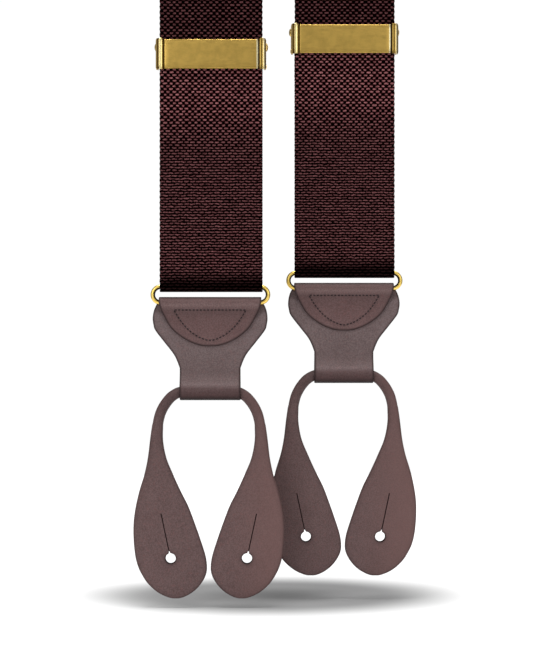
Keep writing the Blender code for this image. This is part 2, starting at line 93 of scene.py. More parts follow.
# Sizes shared with the CAD
WEBBING_THICKNESS = 0.0009
LEATHER_THICKNESS = 0.0010
WIRE_GAP = 0.0002
TOUCH_GAP = 0.0003
FOLD_LEG = 0.012
YOKE_LAP = 0.030
STRAP_LEAN = radians(7.5)
REAR_LEG = 0.030
REAR_TAIL = 0.022
TAB_BODY = [
    (0.0, 0.0189), (0.0006, 0.0198), (0.0030, 0.0208), (0.0058, 0.0212), (0.0082, 0.0209),
    (0.0103, 0.0202), (0.0145, 0.0170), (0.0187, 0.0137), (0.0213, 0.0123), (0.0242, 0.0112),
]
TAB_FLAP = [
    (0.0, 0.0189), (0.0027, 0.0181), (0.0061, 0.0164), (0.0095, 0.0143), (0.0122, 0.0113),
    (0.0143, 0.0079), (0.0154, 0.0052), (0.0160, 0.0026), (0.01615, 0.0002),
]
TAB_CLOSE = 0.006
TAB_TAIL_TOP = 0.0020
TUNNEL_TAPER = 0.00725
CORD_RADIUS = 0.00195
CORD_CLEARANCE = 0.0004
PADDLE_HALF_DEPTH = 0.0010
LOOP_DROP = 0.0766
CORD_FOOT = 0.0600
HOLE_RADIUS = 0.0019
HOLE_HEIGHT = 0.0149
HOLE_OFFSET = 0.0141
SLIT_LENGTH = 0.0150
SLIT_LEAN = radians(12)
PLATE_THICKNESS = 0.0008
PLATE_WIDTH = 0.034
SIDE_CLEARANCE = 0.0005
ROLL_RADIUS = 0.00125
ROLL_EXTRA_HEIGHT = 0.0003
SIDE_WALL_BACK = 0.0033
HINGE_PIN_RADIUS = 0.0007
HINGE_HEAD_RADIUS = 0.0015
PIN_GAP = 0.00015
END_BAR_RADIUS = 0.0008
END_BAR_HEIGHT = -0.00385
END_BAR_DEPTH = 0.0016
LEVER_THICKNESS = 0.0006
LEVER_FLAP_DEPTH = 0.0029
LEVER_FLAP_DROP = 0.0080
LEVER_LIP_DROP = 0.0013
WEBBING_TAIL = 0.010
YOKE_OUTLINE = [(0.0350, 0.0), (0.0345, -0.010), (0.0300, -0.030), (0.0222, -0.053)]
YOKE_CORNER = 0.005
YOKE_NOTCH = 0.0045

# Weave, in millimetres
COLUMN_PITCH = 2.25
ROW_PITCH = 1.03
SCALLOP_PITCH = 2.06
SCALLOP_DEPTH = 0.00010

# Half-loop outline below the round cord: height above the paddle's foot, inner and outer edge
PADDLE = [
    (0.0640, 0.0169, 0.0210), (0.0585, 0.0169, 0.0218), (0.0520, 0.0157, 0.0226),
    (0.0460, 0.0133, 0.0238), (0.0400, 0.0106, 0.0256), (0.0340, 0.0076, 0.0270),
    (0.0280, 0.0053, 0.0278), (0.0220, 0.0032, 0.0278), (0.0160, 0.0013, 0.0272),
    (0.0120, 0.0007, 0.0262), (0.0090, 0.0010, 0.0248), (0.0060, 0.0025, 0.0229),
    (0.0035, 0.0046, 0.0204), (0.0018, 0.0068, 0.0180), (0.0006, 0.0092, 0.0153),
    (0.0001, 0.0112, 0.0133),
]
CORD_LINE = [
    (0.0, 0.0769), (0.0060, 0.0768), (0.0105, 0.0763), (0.0132, 0.0750), (0.0150, 0.0733),
    (0.0167, 0.0709), (0.0179, 0.0684), (0.0186, 0.0658), (0.0189, 0.0640),
]

# Stitches
STITCH_PITCH = 0.00190
STITCH_LENGTH = 0.00160
THREAD_RADIUS = 0.00022
SEAM_INSET = 0.0025
# The tab's finer seam: thread radius, stitch length and pitch
TAB_STITCH = (0.00028, 0.00100, 0.00135)

X_AXIS = np.array((1.0, 0.0, 0.0))
HALF_WEBBING = (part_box("left_strap_fold")[1].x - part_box("left_strap_fold")[0].x) / 2
JOINTS = {joint["name"]: joint for joint in frame["joints"]}


def joint_place(name):
    return np.array(JOINTS[name]["pos_m"], float)


def box_centre(node):
    low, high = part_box(node)
    return np.array((low + high) / 2)


RING_LOW, RING_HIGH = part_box("left_ring")
WIRE_RADIUS = (RING_HIGH.y - RING_LOW.y) / 2
BAR_SPACING = RING_HIGH.z - RING_LOW.z - 2 * WIRE_RADIUS
FOLD_RADIUS = WIRE_RADIUS + WIRE_GAP + WEBBING_THICKNESS / 2
LEATHER_FOLD_RADIUS = WIRE_RADIUS + WIRE_GAP + LEATHER_THICKNESS / 2
LEATHER_PITCH = LEATHER_THICKNESS + TOUCH_GAP
TUNNEL_RADIUS = CORD_RADIUS + CORD_CLEARANCE + LEATHER_THICKNESS / 2
TUNNEL_DEPTH = LEATHER_PITCH / 2
WRAP_RADIUS = END_BAR_RADIUS + WIRE_GAP + WEBBING_THICKNESS / 2
STRAP_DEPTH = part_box("left_strap")[1].y - WEBBING_THICKNESS / 2
RAIL_RADIUS = STRAP_DEPTH - WEBBING_THICKNESS / 2
YOKE_LOW, YOKE_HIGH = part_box("yoke_front_patch")
YOKE_TOP = YOKE_HIGH.z
YOKE_HEIGHT = YOKE_HIGH.z - YOKE_LOW.z
ADJUSTER_HEIGHT = (
    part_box("left_adjuster_frame")[1].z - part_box("left_adjuster_frame")[0].z - 2 * ROLL_EXTRA_HEIGHT
)


# Small geometry


def smoothstep(value):
    value = np.clip(value, 0.0, 1.0)
    return value * value * (3 - 2 * value)


def arc(centre, radius, start, end, steps):
    angles = np.radians(np.linspace(start, end, steps + 1))
    return [(centre[0] + radius * cos(a), centre[1] + radius * sin(a)) for a in angles]


def distances(points):
    """Length along a line of points, from its first point."""
    steps = np.linalg.norm(np.diff(np.asarray(points, float), axis=0), axis=1)
    return np.concatenate([[0.0], np.cumsum(steps)])


def smooth_curve(points, steps):
    """A Catmull-Rom curve through the points, evenly spaced in length."""
    points = np.asarray(points, float)
    padded = np.vstack([2 * points[0] - points[1], points, 2 * points[-1] - points[-2]])
    fine = []
    for a, b, c, d in zip(padded, padded[1:], padded[2:], padded[3:]):
        for t in np.linspace(0, 1, 16, endpoint=False):
            fine.append(
                0.5 * (2 * b + (c - a) * t + (2 * a - 5 * b + 4 * c - d) * t**2)
                + 0.5 * (3 * b - a - 3 * c + d) * t**3
            )
    fine.append(points[-1])
    return resample(fine, steps)


def resample(points, steps):
    """The same line as so many even steps."""
    points = np.asarray(points, float)
    length = distances(points)
    even = np.linspace(0, length[-1], steps + 1)
    return np.column_stack([np.interp(even, length, points[:, axis]) for axis in range(points.shape[1])])


def smooth_width(outline, drops):
    """Half-width of a (drop, half-width) outline at each drop, rounded between its points."""
    fine = smooth_curve(outline, 200)
    order = np.argsort(fine[:, 0])
    return np.interp(drops, fine[order, 0], fine[order, 1])


def in_depth(profile, place):
    """(depth, height) points as a line in space at a place."""
    return np.array([(0.0, depth, height) for depth, height in profile]) + place


def tangents(line, cyclic=False):
    if cyclic:
        ahead = np.roll(line, -1, axis=0) - np.roll(line, 1, axis=0)
    else:
        ahead = np.gradient(line, axis=0)
    return ahead / np.linalg.norm(ahead, axis=1)[:, None]


# Meshes


def add_surface(mesh, values):
    """Stores the across, along and edge values, in millimetres, in place of any older ones."""
    if "surface" in mesh.attributes:
        mesh.attributes.remove(mesh.attributes["surface"])
    layer = mesh.attributes.new("surface", "FLOAT_VECTOR", "POINT")
    layer.data.foreach_set("vector", np.asarray(values, np.float32).ravel())


def ring_mesh(name, rings, surface=None, cyclic=False):
    """A skin over rings of points, closed at both ends unless it comes back on itself."""
    rows, count = rings.shape[:2]
    index = np.arange(rows * count).reshape(rows, count)
    following = np.roll(index, -1, axis=0) if cyclic else index[1:]
    here = index if cyclic else index[:-1]
    quads = np.stack(
        [here, np.roll(here, -1, axis=1), np.roll(following, -1, axis=1), following], axis=-1
    )
    faces = quads.reshape(-1, 4).tolist()
    if not cyclic:
        faces += [index[0].tolist()[::-1], index[-1].tolist()]
    mesh = bpy.data.meshes.new(name)
    mesh.from_pydata(rings.reshape(-1, 3).tolist(), [], faces)
    if surface is not None:
        add_surface(mesh, surface.reshape(-1, 3))
    turn_outward(mesh)
    return new_object(name, mesh)


def mesh_points(mesh):
    points = np.zeros(len(mesh.vertices) * 3)
    mesh.vertices.foreach_get("co", points)
    return points.reshape(-1, 3)


def join_rings(shell, rings):
    """Faces between rings of vertices that follow each other, with both ends closed."""
    for low, high in zip(rings, rings[1:]):
        for i in range(len(low)):
            j = (i + 1) % len(low)
            shell.faces.new((low[i], low[j], high[j], high[i]))
    shell.faces.new(rings[0][::-1])
    shell.faces.new(rings[-1])


def turn_outward(mesh):
    shell = bmesh.new()
    shell.from_mesh(mesh)
    bmesh.ops.recalc_face_normals(shell, faces=shell.faces)
    shell.to_mesh(mesh)
    shell.free()


def new_object(name, mesh):
    obj = bpy.data.objects.new(name, mesh)
    bpy.context.scene.collection.objects.link(obj)
    return obj


def smooth(obj, angle=40):
    obj.data.shade_smooth()
    obj.data.set_sharp_from_angle(angle=radians(angle))


def applied(obj):
    """The object with its modifiers made part of its mesh."""
    graph = bpy.context.evaluated_depsgraph_get()
    mesh = bpy.data.meshes.new_from_object(obj.evaluated_get(graph))
    obj.modifiers.clear()
    obj.data = mesh
    return obj


def flat_section(columns, corner_steps, inset):
    """Points round a flat section with rounded corners.

    Each is (share of the half-width, inset towards the middle, face, corner x, corner y)."""
    points = []
    for face in (1, -1):
        shares = np.linspace(-face, face, columns + 1)
        points.append((-face, 0.0, face, 0.0, face))
        points.append((-face, face * inset, face, 0.0, face))
        points += [(share, 0.0, face, 0.0, face) for share in shares[1:-1]]
        points.append((face, -face * inset, face, 0.0, face))
        points.append((face, 0.0, face, 0.0, face))
        for corner, start in ((face, 0), (-face, corner_steps)):
            for step in range(corner_steps):
                share = (step + 1 + start) / (2 * corner_steps)
                if share >= 1:
                    continue
                angle = pi / 2 - pi * share
                points.append((face, 0.0, corner, face * cos(angle), face * sin(angle)))
            if start == 0:
                points.append((face, 0.0, -corner, face, 0.0))
    return np.array(points)


def band(name, line, sides, half_widths, half_depth, section, corner, along=None, drop=None):
    """A flat strip along a line, with rounded edges. drop is not used."""
    line = np.asarray(line, float)
    rows = len(line)
    sides = np.broadcast_to(np.asarray(sides, float), (rows, 3))
    outward = np.cross(tangents(line), sides)
    outward /= np.linalg.norm(outward, axis=1)[:, None]
    half = np.broadcast_to(np.asarray(half_widths, float), (rows,))[:, None]
    share, inset, face, corner_x, corner_y = section.T
    corner = np.minimum(corner, half)
    across = share * (half - corner) + inset * np.minimum(half / 0.004, 1.0) + corner_x * corner
    depth = face * (half_depth - corner) + corner_y * corner
    rings = line[:, None, :] + sides[:, None, :] * across[..., None] + outward[:, None, :] * depth[..., None]
    along = distances(line) if along is None else along
    surface = np.stack(
        [across, np.broadcast_to(along[:, None], across.shape), half - np.abs(across)], axis=-1
    )
    return ring_mesh(name, rings, surface * 1000)


def tube(name, line, up, radius, segments=20, cyclic=False):
    """A round wire along a line. up is at a right angle to the whole line."""
    line = np.asarray(line, float)
    along = tangents(line, cyclic)
    up = np.broadcast_to(np.asarray(up, float), line.shape)
    out = np.cross(along, up)
    angles = np.linspace(0, 2 * pi, segments, endpoint=False)
    radius = np.broadcast_to(np.asarray(radius, float), (len(line),))[:, None, None]
    rings = line[:, None, :] + radius * (
        out[:, None, :] * np.cos(angles)[None, :, None] + up[:, None, :] * np.sin(angles)[None, :, None]
    )
    return ring_mesh(name, rings, cyclic=cyclic)


def turned(name, profile, place, segments=32):
    """A pin along X from (radius, x) points."""
    profile = np.array([(max(radius, 0.00002), x) for radius, x in profile])
    line = np.column_stack([profile[:, 1], np.zeros((len(profile), 2))]) + place
    angles = np.linspace(0, 2 * pi, segments, endpoint=False)
    circle = np.column_stack([np.zeros(segments), np.cos(angles), np.sin(angles)])
    rings = line[:, None, :] + profile[:, 0][:, None, None] * circle[None, :, :]
    return ring_mesh(name, rings)


def edge_distance(points, outline, closed=True):
    """Distance of flat points from an outline of straight pieces."""
    points = np.asarray(points, float)
    outline = np.asarray(outline, float)
    nearest = np.full(len(points), 1.0)
    ends = np.roll(outline, -1, axis=0) if closed else outline[1:]
    for start, end in zip(outline, ends):
        span = end - start
        share = ((points - start) @ span) / max(span @ span, 1e-18)
        foot = start + np.clip(share, 0, 1)[:, None] * span
        nearest = np.minimum(nearest, np.linalg.norm(points - foot, axis=1))
    return nearest


def stitches(name, runs, radius=THREAD_RADIUS, length=STITCH_LENGTH, pitch=STITCH_PITCH):
    """Thread capsules along runs of (line, outward direction), as one mesh."""
    shares = np.linspace(-1, 1, 9)
    angles = np.linspace(0, 2 * pi, 8, endpoint=False)
    vertices = []
    faces = []
    for line, outward in runs:
        line = np.asarray(line, float)
        outward = np.asarray(outward, float)
        reach = distances(line)
        count = max(int(round(reach[-1] / pitch)), 1)
        for number in range(count):
            middle = (number + 0.5) * reach[-1] / count
            ends = np.array([middle - length / 2, middle + length / 2])
            first, last = (np.array([np.interp(e, reach, line[:, a]) for a in range(3)]) for e in ends)
            heading = (last - first) / np.linalg.norm(last - first)
            up = outward - heading * (outward @ heading)
            up /= np.linalg.norm(up)
            side = np.cross(heading, up)
            start = len(vertices)
            for share in shares:
                swell = radius * np.sqrt(max(1 - share**6, 0.02))
                sink = radius * (0.1 - 0.9 * share**4)
                centre = (first + last) / 2 + (last - first) / 2 * share + up * sink
                vertices += [centre + swell * (side * cos(a) + up * sin(a)) for a in angles]
            for row in range(len(shares) - 1):
                for step in range(8):
                    a = start + row * 8 + step
                    b = start + row * 8 + (step + 1) % 8
                    faces.append((a, b, b + 8, a + 8))
            faces.append(tuple(range(start, start + 8))[::-1])
            last_ring = start + (len(shares) - 1) * 8
            faces.append(tuple(range(last_ring, last_ring + 8)))
    mesh = bpy.data.meshes.new(name)
    mesh.from_pydata([tuple(v) for v in vertices], [], faces)
    turn_outward(mesh)
    obj = new_object(name, mesh)
    smooth(obj, 60)
    return obj


# Materials


def add_node(tree, kind, inputs=None, **settings):
    made = tree.nodes.new(kind)
    for key, value in settings.items():
        setattr(made, key, value)
    for key, value in (inputs or {}).items():
        if isinstance(value, bpy.types.NodeSocket):
            tree.links.new(value, made.inputs[key])
        else:
            made.inputs[key].default_value = value
    return made


def calculate(tree, operation, first, second=0.0, clamp=False):
    made = add_node(
        tree, "ShaderNodeMath", {0: first, 1: second}, operation=operation, use_clamp=clamp
    )
    return made.outputs[0]


def times(tree, first, second, clamp=False):
    return calculate(tree, "MULTIPLY", first, second, clamp)


def plus(tree, first, second, clamp=False):
    return calculate(tree, "ADD", first, second, clamp)


def scaled(tree, vector, factors):
    """The vector with each of its parts multiplied by its own factor."""
    made = add_node(tree, "ShaderNodeVectorMath", {0: vector, 1: factors}, operation="MULTIPLY")
    return made.outputs[0]


def grey(tree, value):
    """The value as a colour."""
    return add_node(tree, "ShaderNodeCombineColor", {0: value, 1: value, 2: value}).outputs[0]


def remap(tree, value, start, end, low=0.0, high=1.0):
    """Goes smoothly from low to high as the value goes from start to end."""
    made = add_node(
        tree,
        "ShaderNodeMapRange",
        {"Value": value, "From Min": start, "From Max": end, "To Min": low, "To Max": high},
        interpolation_type="SMOOTHSTEP",
    )
    return made.outputs[0]


def mix(tree, factor, first, second, blend_type="MIX"):
    made = add_node(tree, "ShaderNodeMix", {0: factor}, data_type="RGBA", blend_type=blend_type)
    for socket, value in ((made.inputs[6], first), (made.inputs[7], second)):
        if isinstance(value, bpy.types.NodeSocket):
            tree.links.new(value, socket)
        else:
            socket.default_value = (*value, 1.0)
    return made.outputs[2]


def colour_ramp(tree, value, span, stops):
    """A colour that changes with the value, from stops of (value, colour) over the span."""
    ramp = add_node(tree, "ShaderNodeValToRGB", {0: calculate(tree, "DIVIDE", value, span)})
    elements = ramp.color_ramp.elements
    elements.remove(elements[1])
    elements[0].position = stops[0][0] / span
    elements[0].color = (*stops[0][1], 1.0)
    for place, colour in stops[1:]:
        elements.new(place / span).color = (*colour, 1.0)
    return ramp.outputs[0]


def noise(tree, vector, scale, detail=2.0, roughness=0.5, output="Fac"):
    made = add_node(
        tree,
        "ShaderNodeTexNoise",
        {"Vector": vector, "Scale": scale, "Detail": detail, "Roughness": roughness},
    )
    return made.outputs[output]


def bump(tree, height, distance, strength=1.0):
    made = add_node(
        tree, "ShaderNodeBump", {"Height": height, "Distance": distance, "Strength": strength}
    )
    return made.outputs[0]


def start_material(name, roughness, metallic=0.0, specular=0.5, sheen=0.0):
    material = bpy.data.materials.new(name)
    material.use_nodes = True
    tree = material.node_tree
    shader = tree.nodes["Principled BSDF"]
    shader.inputs["Roughness"].default_value = roughness
    shader.inputs["Metallic"].default_value = metallic
    shader.inputs["Specular IOR Level"].default_value = specular
    shader.inputs["Sheen Weight"].default_value = sheen
    shader.inputs["Sheen Roughness"].default_value = 0.4
    return material, tree, shader


def surface_parts(tree):
    vector = add_node(tree, "ShaderNodeAttribute", attribute_name="surface").outputs["Vector"]
    parts = add_node(tree, "ShaderNodeSeparateXYZ", {0: vector})
    return vector, parts.outputs[0], parts.outputs[1], parts.outputs[2]


def millimetres(tree):
    """The mesh's own coordinates in millimetres."""
    place = add_node(tree, "ShaderNodeTexCoord").outputs["Object"]
    return scaled(tree, place, (1000, 1000, 1000))


def woven_material(name, ragged_below, bright, adjuster_shade=True, fold_shade_reach=8.0):
    """Brick-like weave: short burgundy floats between near-black ovals, with painted shade at the fold."""
    material, tree, shader = start_material(name, 0.8, specular=0.0)
    vector, across, along, edge = surface_parts(tree)
    wander = noise(tree, vector, 0.55, 1.0, output="Color")
    wander = add_node(
        tree, "ShaderNodeVectorMath", {0: wander, 1: (0.5, 0.5, 0.5)}, operation="SUBTRACT"
    ).outputs[0]
    wander = add_node(tree, "ShaderNodeSeparateXYZ", {0: wander}).outputs
    reach_up = calculate(tree, "ABSOLUTE", along)
    ragged = remap(tree, reach_up, ragged_below + 12, ragged_below - 12)
    sway = plus(tree, 0.35, times(tree, ragged, 0.35))
    bend = times(tree, wander[1], sway)
    height = plus(tree, calculate(tree, "DIVIDE", along, ROW_PITCH), bend)
    row = calculate(tree, "FLOOR", height)
    down = calculate(tree, "SUBTRACT", calculate(tree, "FRACT", height), 0.5)
    shift = calculate(tree, "FRACT", times(tree, row, 0.5))
    slide = times(tree, wander[0], 0.5)
    reach = plus(tree, calculate(tree, "DIVIDE", across, COLUMN_PITCH), shift)
    reach = plus(tree, plus(tree, reach, slide), 100.0)
    column = calculate(tree, "FLOOR", reach)
    over = calculate(tree, "SUBTRACT", calculate(tree, "FRACT", reach), 0.5)
    cell = add_node(tree, "ShaderNodeCombineXYZ", {0: column, 1: row}).outputs[0]
    chance = add_node(tree, "ShaderNodeTexWhiteNoise", {"Vector": cell}).outputs["Value"]

    long_half = plus(tree, 0.25, times(tree, chance, 0.07))
    long_half = plus(tree, long_half, times(tree, ragged, 0.17))
    tall_half = remap(tree, reach_up, ragged_below + 12, ragged_below - 12, 0.31, 0.23)
    off = calculate(tree, "ABSOLUTE", over)
    aside = calculate(tree, "POWER", calculate(tree, "DIVIDE", off, long_half), 3.0)
    high = calculate(tree, "ABSOLUTE", down)
    above = calculate(tree, "POWER", calculate(tree, "DIVIDE", high, tall_half), 2.0)
    inside = plus(tree, aside, above)
    floating = remap(tree, inside, 1.45, 0.35)
    wide = plus(tree, 0.27, times(tree, ragged, 0.12))
    hollow = calculate(tree, "DIVIDE", calculate(tree, "SUBTRACT", 0.5, off), wide)
    hollow = calculate(tree, "POWER", hollow, 2.0)
    tall = calculate(tree, "SUBTRACT", 0.58, times(tree, ragged, 0.12))
    tall = calculate(tree, "POWER", calculate(tree, "DIVIDE", high, tall), 2.0)
    dark = remap(tree, plus(tree, hollow, tall), 1.15, 0.6)

    fibres = scaled(tree, vector, (0.8, 6.0, 1.0))
    fibre = noise(tree, fibres, 1.0, 3.0, 0.6)
    base, low, top = bright
    thread = mix(tree, remap(tree, fibre, 0.3, 0.7), low, top)
    strength = plus(tree, 0.72, times(tree, chance, 0.4))
    lengthwise = scaled(tree, vector, (0.75, 1.0, 1.0))
    gap = remap(tree, noise(tree, lengthwise, 1.0, 1.0), 0.39, 0.50)
    gap = times(tree, gap, remap(tree, high, 0.24, 0.36))
    dark = calculate(tree, "MAXIMUM", dark, times(tree, gap, ragged))
    ground = mix(tree, dark, base, (0.0010, 0.0003, 0.0004))
    colour = mix(tree, times(tree, floating, strength, True), ground, thread)
    # Painted shade: near-black at the fold round the bar, fading out a few millimetres up the strap.
    painted_shade_and_tone = remap(tree, reach_up, 0.0, fold_shade_reach, 0.07, 1.0)
    painted_shade_and_tone = times(tree, painted_shade_and_tone, remap(tree, edge, -0.1, 0.5, 0.45, 1.0))
    low_tone = remap(tree, reach_up, ragged_below + 18, ragged_below - 2, 1.0, 0.50)
    painted_shade_and_tone = times(tree, painted_shade_and_tone, low_tone)
    # Painted shade: a darker band on the webbing from the adjuster's top, fading out some 40 mm further up.
    if adjuster_shade:
        below = remap(tree, along, 80.0, 92.0, 1.0, 0.36)
        above = remap(tree, along, 108.0, 150.0, 0.36, 1.0)
        painted_shade_and_tone = times(tree, painted_shade_and_tone, calculate(tree, "MAXIMUM", below, above))
    shade = grey(tree, painted_shade_and_tone)
    tree.links.new(mix(tree, 1.0, colour, shade, "MULTIPLY"), shader.inputs["Base Color"])

    relief = calculate(tree, "SUBTRACT", floating, times(tree, dark, 0.45))
    relief = plus(tree, relief, times(tree, fibre, 0.35))
    tree.links.new(bump(tree, relief, 0.00016, 0.9), shader.inputs["Normal"])
    return material


def leather_material(name, dark, light, edge_dye_and_shade_colour=(0.022, 0.011, 0.011), redder=0.0, tab=False):
    """Smooth leather with fine mottling, pores and a dark, burnished edge, which on the loop's round cord
    darkens its sides as a painted shade.
    """
    material, tree, shader = start_material(name, 0.5, specular=0.18)
    _, across, along, edge = surface_parts(tree)
    place = millimetres(tree)
    cloud = noise(tree, place, 0.16, 3.0, 0.55)
    speck = noise(tree, place, 2.3, 3.0, 0.65)
    grain = add_node(
        tree, "ShaderNodeTexVoronoi", {"Vector": place, "Scale": 2.6}, feature="DISTANCE_TO_EDGE"
    ).outputs["Distance"]
    tone = times(tree, remap(tree, speck, 0.32, 0.68), 0.62)
    tone = plus(tree, tone, times(tree, cloud, 0.42), True)
    colour = mix(tree, tone, dark, light)
    blush = remap(tree, noise(tree, place, 1.1, 2.0), 0.5, 0.75, 0.0, 0.30 + redder)
    colour = mix(tree, blush, colour, tuple(c * k for c, k in zip(light, (1.10, 0.78, 0.76))))
    crease = remap(tree, grain, 0.0, 0.10, 0.88, 1.0)
    colour = mix(tree, 1.0, colour, grey(tree, crease), "MULTIPLY")
    wavering = plus(tree, edge, times(tree, speck, -0.25))
    if tab:
        # On the tab: its tone with painted highlights and painted shade along its length.
        colour = mix(tree, 1.0, colour, tab_tone_and_painted_light(tree, along), "MULTIPLY")
    else:
        # Painted shade, growing over the 13 mm below the surface's zero height: up the loop's cord into the
        # tab's tunnel, and so also at the top of the yoke patches.
        below = remap(tree, along, -15.0, -2.0, 0.0, 0.38)
        colour = mix(tree, below, colour, edge_dye_and_shade_colour)
        ruddy = remap(tree, across, 2.0, 27.0, 0.0, 0.55)
        colour = mix(tree, ruddy, colour, (0.150, 0.078, 0.072))
    broad, sharp = (0.30, 0.90) if tab else (0.14, 0.38)
    colour = mix(tree, remap(tree, edge, 2.4, 0.0, 0.0, broad), colour, edge_dye_and_shade_colour)
    rim = times(tree, remap(tree, wavering, 0.85, -0.05), sharp)
    tree.links.new(mix(tree, rim, colour, edge_dye_and_shade_colour), shader.inputs["Base Color"])
    rough = remap(tree, speck, 0.2, 0.8, 0.44, 0.60)
    tree.links.new(rough, shader.inputs["Roughness"])
    relief = times(tree, remap(tree, grain, 0.0, 0.18), 0.6)
    relief = plus(tree, relief, times(tree, speck, 0.8))
    tree.links.new(bump(tree, relief, 0.00005, 0.7), shader.inputs["Normal"])
    return material


def tab_tone_and_painted_light(tree, along):
    """Tones along the tab's strip, from the flap's tip, over the fold and round the tunnel: the leather's
    own tone with painted highlights at the fold and just above the tunnel, and painted shade just past the
    fold and round the bottom of the tunnel.
    """
    return colour_ramp(tree, along, 72.0, [
        (0.0, (1.12, 1.00, 0.98)), (5.0, (1.02, 0.87, 0.86)), (11.0, (0.92, 0.79, 0.78)),
        (13.2, (0.84, 0.73, 0.72)), (15.2, (1.34, 1.28, 1.26)), (17.0, (0.88, 0.77, 0.75)),
        (19.5, (0.62, 0.48, 0.47)), (23.0, (1.26, 1.38, 1.40)), (38.0, (1.30, 1.40, 1.41)),
        (48.0, (1.04, 1.09, 1.09)), (50.6, (1.00, 1.04, 1.04)), (52.0, (1.16, 1.23, 1.24)),
        (53.4, (0.74, 0.68, 0.68)), (55.4, (0.54, 0.43, 0.43)), (57.3, (0.07, 0.04, 0.04)),
        (63.0, (0.40, 0.36, 0.36)), (67.0, (0.95, 1.0, 1.0)),
    ])


def plain_dark_material(name, colour):
    """The inside of a cut, with a slight mottle."""
    material, tree, shader = start_material(name, 0.8, specular=0.1)
    tone = noise(tree, millimetres(tree), 2.0)
    shade = mix(tree, tone, tuple(c * 0.6 for c in colour), colour)
    tree.links.new(shade, shader.inputs["Base Color"])
    return material


def thread_material(name, colour):
    """Twisted thread: a diagonal twist in the colour and in the relief."""
    material, tree, shader = start_material(name, 0.6, specular=0.25, sheen=0.1)
    place = millimetres(tree)
    wave = add_node(
        tree,
        "ShaderNodeTexWave",
        {"Vector": place, "Scale": 1.1, "Distortion": 0.6},
        bands_direction="DIAGONAL",
    ).outputs["Fac"]
    shade = mix(tree, wave, tuple(c * 0.45 for c in colour), colour)
    tree.links.new(shade, shader.inputs["Base Color"])
    tree.links.new(bump(tree, wave, 0.00006, 0.8), shader.inputs["Normal"])
    return material


def brass_material(name, colour, roughness, wear=0.06):
    """Satin or polished brass with faint brushing and tarnish."""
    material, tree, shader = start_material(name, roughness, metallic=1.0)
    place = millimetres(tree)
    stretched = scaled(tree, place, (0.25, 4.0, 4.0))
    brushing = noise(tree, stretched, 1.2, 4.0, 0.6)
    tarnish = noise(tree, place, 0.35, 3.0, 0.6)
    shade = mix(tree, remap(tree, tarnish, 0.35, 0.7), colour, tuple(c * 0.86 for c in colour))
    tree.links.new(shade, shader.inputs["Base Color"])
    rough = remap(tree, brushing, 0.2, 0.8, max(roughness - wear, 0.02), roughness + wear)
    tree.links.new(rough, shader.inputs["Roughness"])
    tree.links.new(bump(tree, brushing, 0.000006, 0.4), shader.inputs["Normal"])
    return material, tree, shader, shade


def ring_material(name):
    """Polished wire, with painted shade where it faces the middle of the ring, and a browner tone towards
    its outer side.
    """
    material, tree, shader = start_material(name, 0.38, metallic=1.0)
    _, inward, _, _ = surface_parts(tree)
    cloud = noise(tree, millimetres(tree), 0.5, 2.0)
    shade = mix(tree, remap(tree, cloud, 0.3, 0.7), (1.0, 0.74, 0.19), (0.92, 0.64, 0.15))
    # Painted shade: near-black on the side of the wire that faces the ring's middle.
    dark = remap(tree, inward, 0.05, 0.45)
    colour = mix(tree, dark, shade, (0.014, 0.006, 0.002))
    outer = remap(tree, inward, -0.55, -0.95, 0.0, 0.5)
    colour = mix(tree, outer, colour, (0.50, 0.33, 0.08))
    tree.links.new(colour, shader.inputs["Base Color"])
    return material


def plate_material(name):
    """Satin brass, with painted reflections across the rolled sides: light and dark stripes, not the same on
    the left and the right.
    """
    material, tree, shader, shade = brass_material(name, SATIN_BRASS, 0.36)
    _, from_side, _, side = surface_parts(tree)
    # Painted reflections: light and dark stripes across the rolled side, one set for the left side and one
    # for the right.
    left = colour_ramp(tree, from_side, 4.0, [
        (0.0, (1.0, 0.72, 0.28)), (0.50, (0.90, 0.62, 0.20)), (0.72, (0.10, 0.055, 0.012)),
        (1.25, (0.12, 0.07, 0.014)), (1.48, (1.0, 0.84, 0.40)), (2.15, (1.0, 0.84, 0.40)),
        (2.40, (0.55, 0.37, 0.09)), (2.65, (0.40, 0.26, 0.06)), (2.85, (0.09, 0.05, 0.010)),
        (3.20, (0.12, 0.07, 0.014)), (3.45, SATIN_BRASS),
    ])
    right = colour_ramp(tree, from_side, 4.0, [
        (0.0, (0.22, 0.14, 0.035)), (0.42, (0.24, 0.15, 0.040)), (0.65, (1.0, 0.84, 0.45)),
        (1.00, (1.0, 0.84, 0.45)), (1.25, (0.50, 0.33, 0.08)), (1.80, (0.16, 0.10, 0.02)),
        (2.25, (0.38, 0.25, 0.06)), (2.45, (0.05, 0.025, 0.006)), (2.90, (0.05, 0.025, 0.006)),
        (3.10, (1.0, 0.92, 0.60)), (3.45, (1.0, 0.90, 0.56)), (3.65, SATIN_BRASS),
    ])
    painted_reflection_stripes = mix(tree, remap(tree, side, -0.5, 0.5), left, right)
    on_side = remap(tree, from_side, 3.9, 3.7)
    rolled = remap(tree, calculate(tree, "ABSOLUTE", side), 0.1, 0.7)
    on_side = times(tree, on_side, rolled)
    tree.links.new(mix(tree, on_side, shade, painted_reflection_stripes), shader.inputs["Base Color"])
    return material


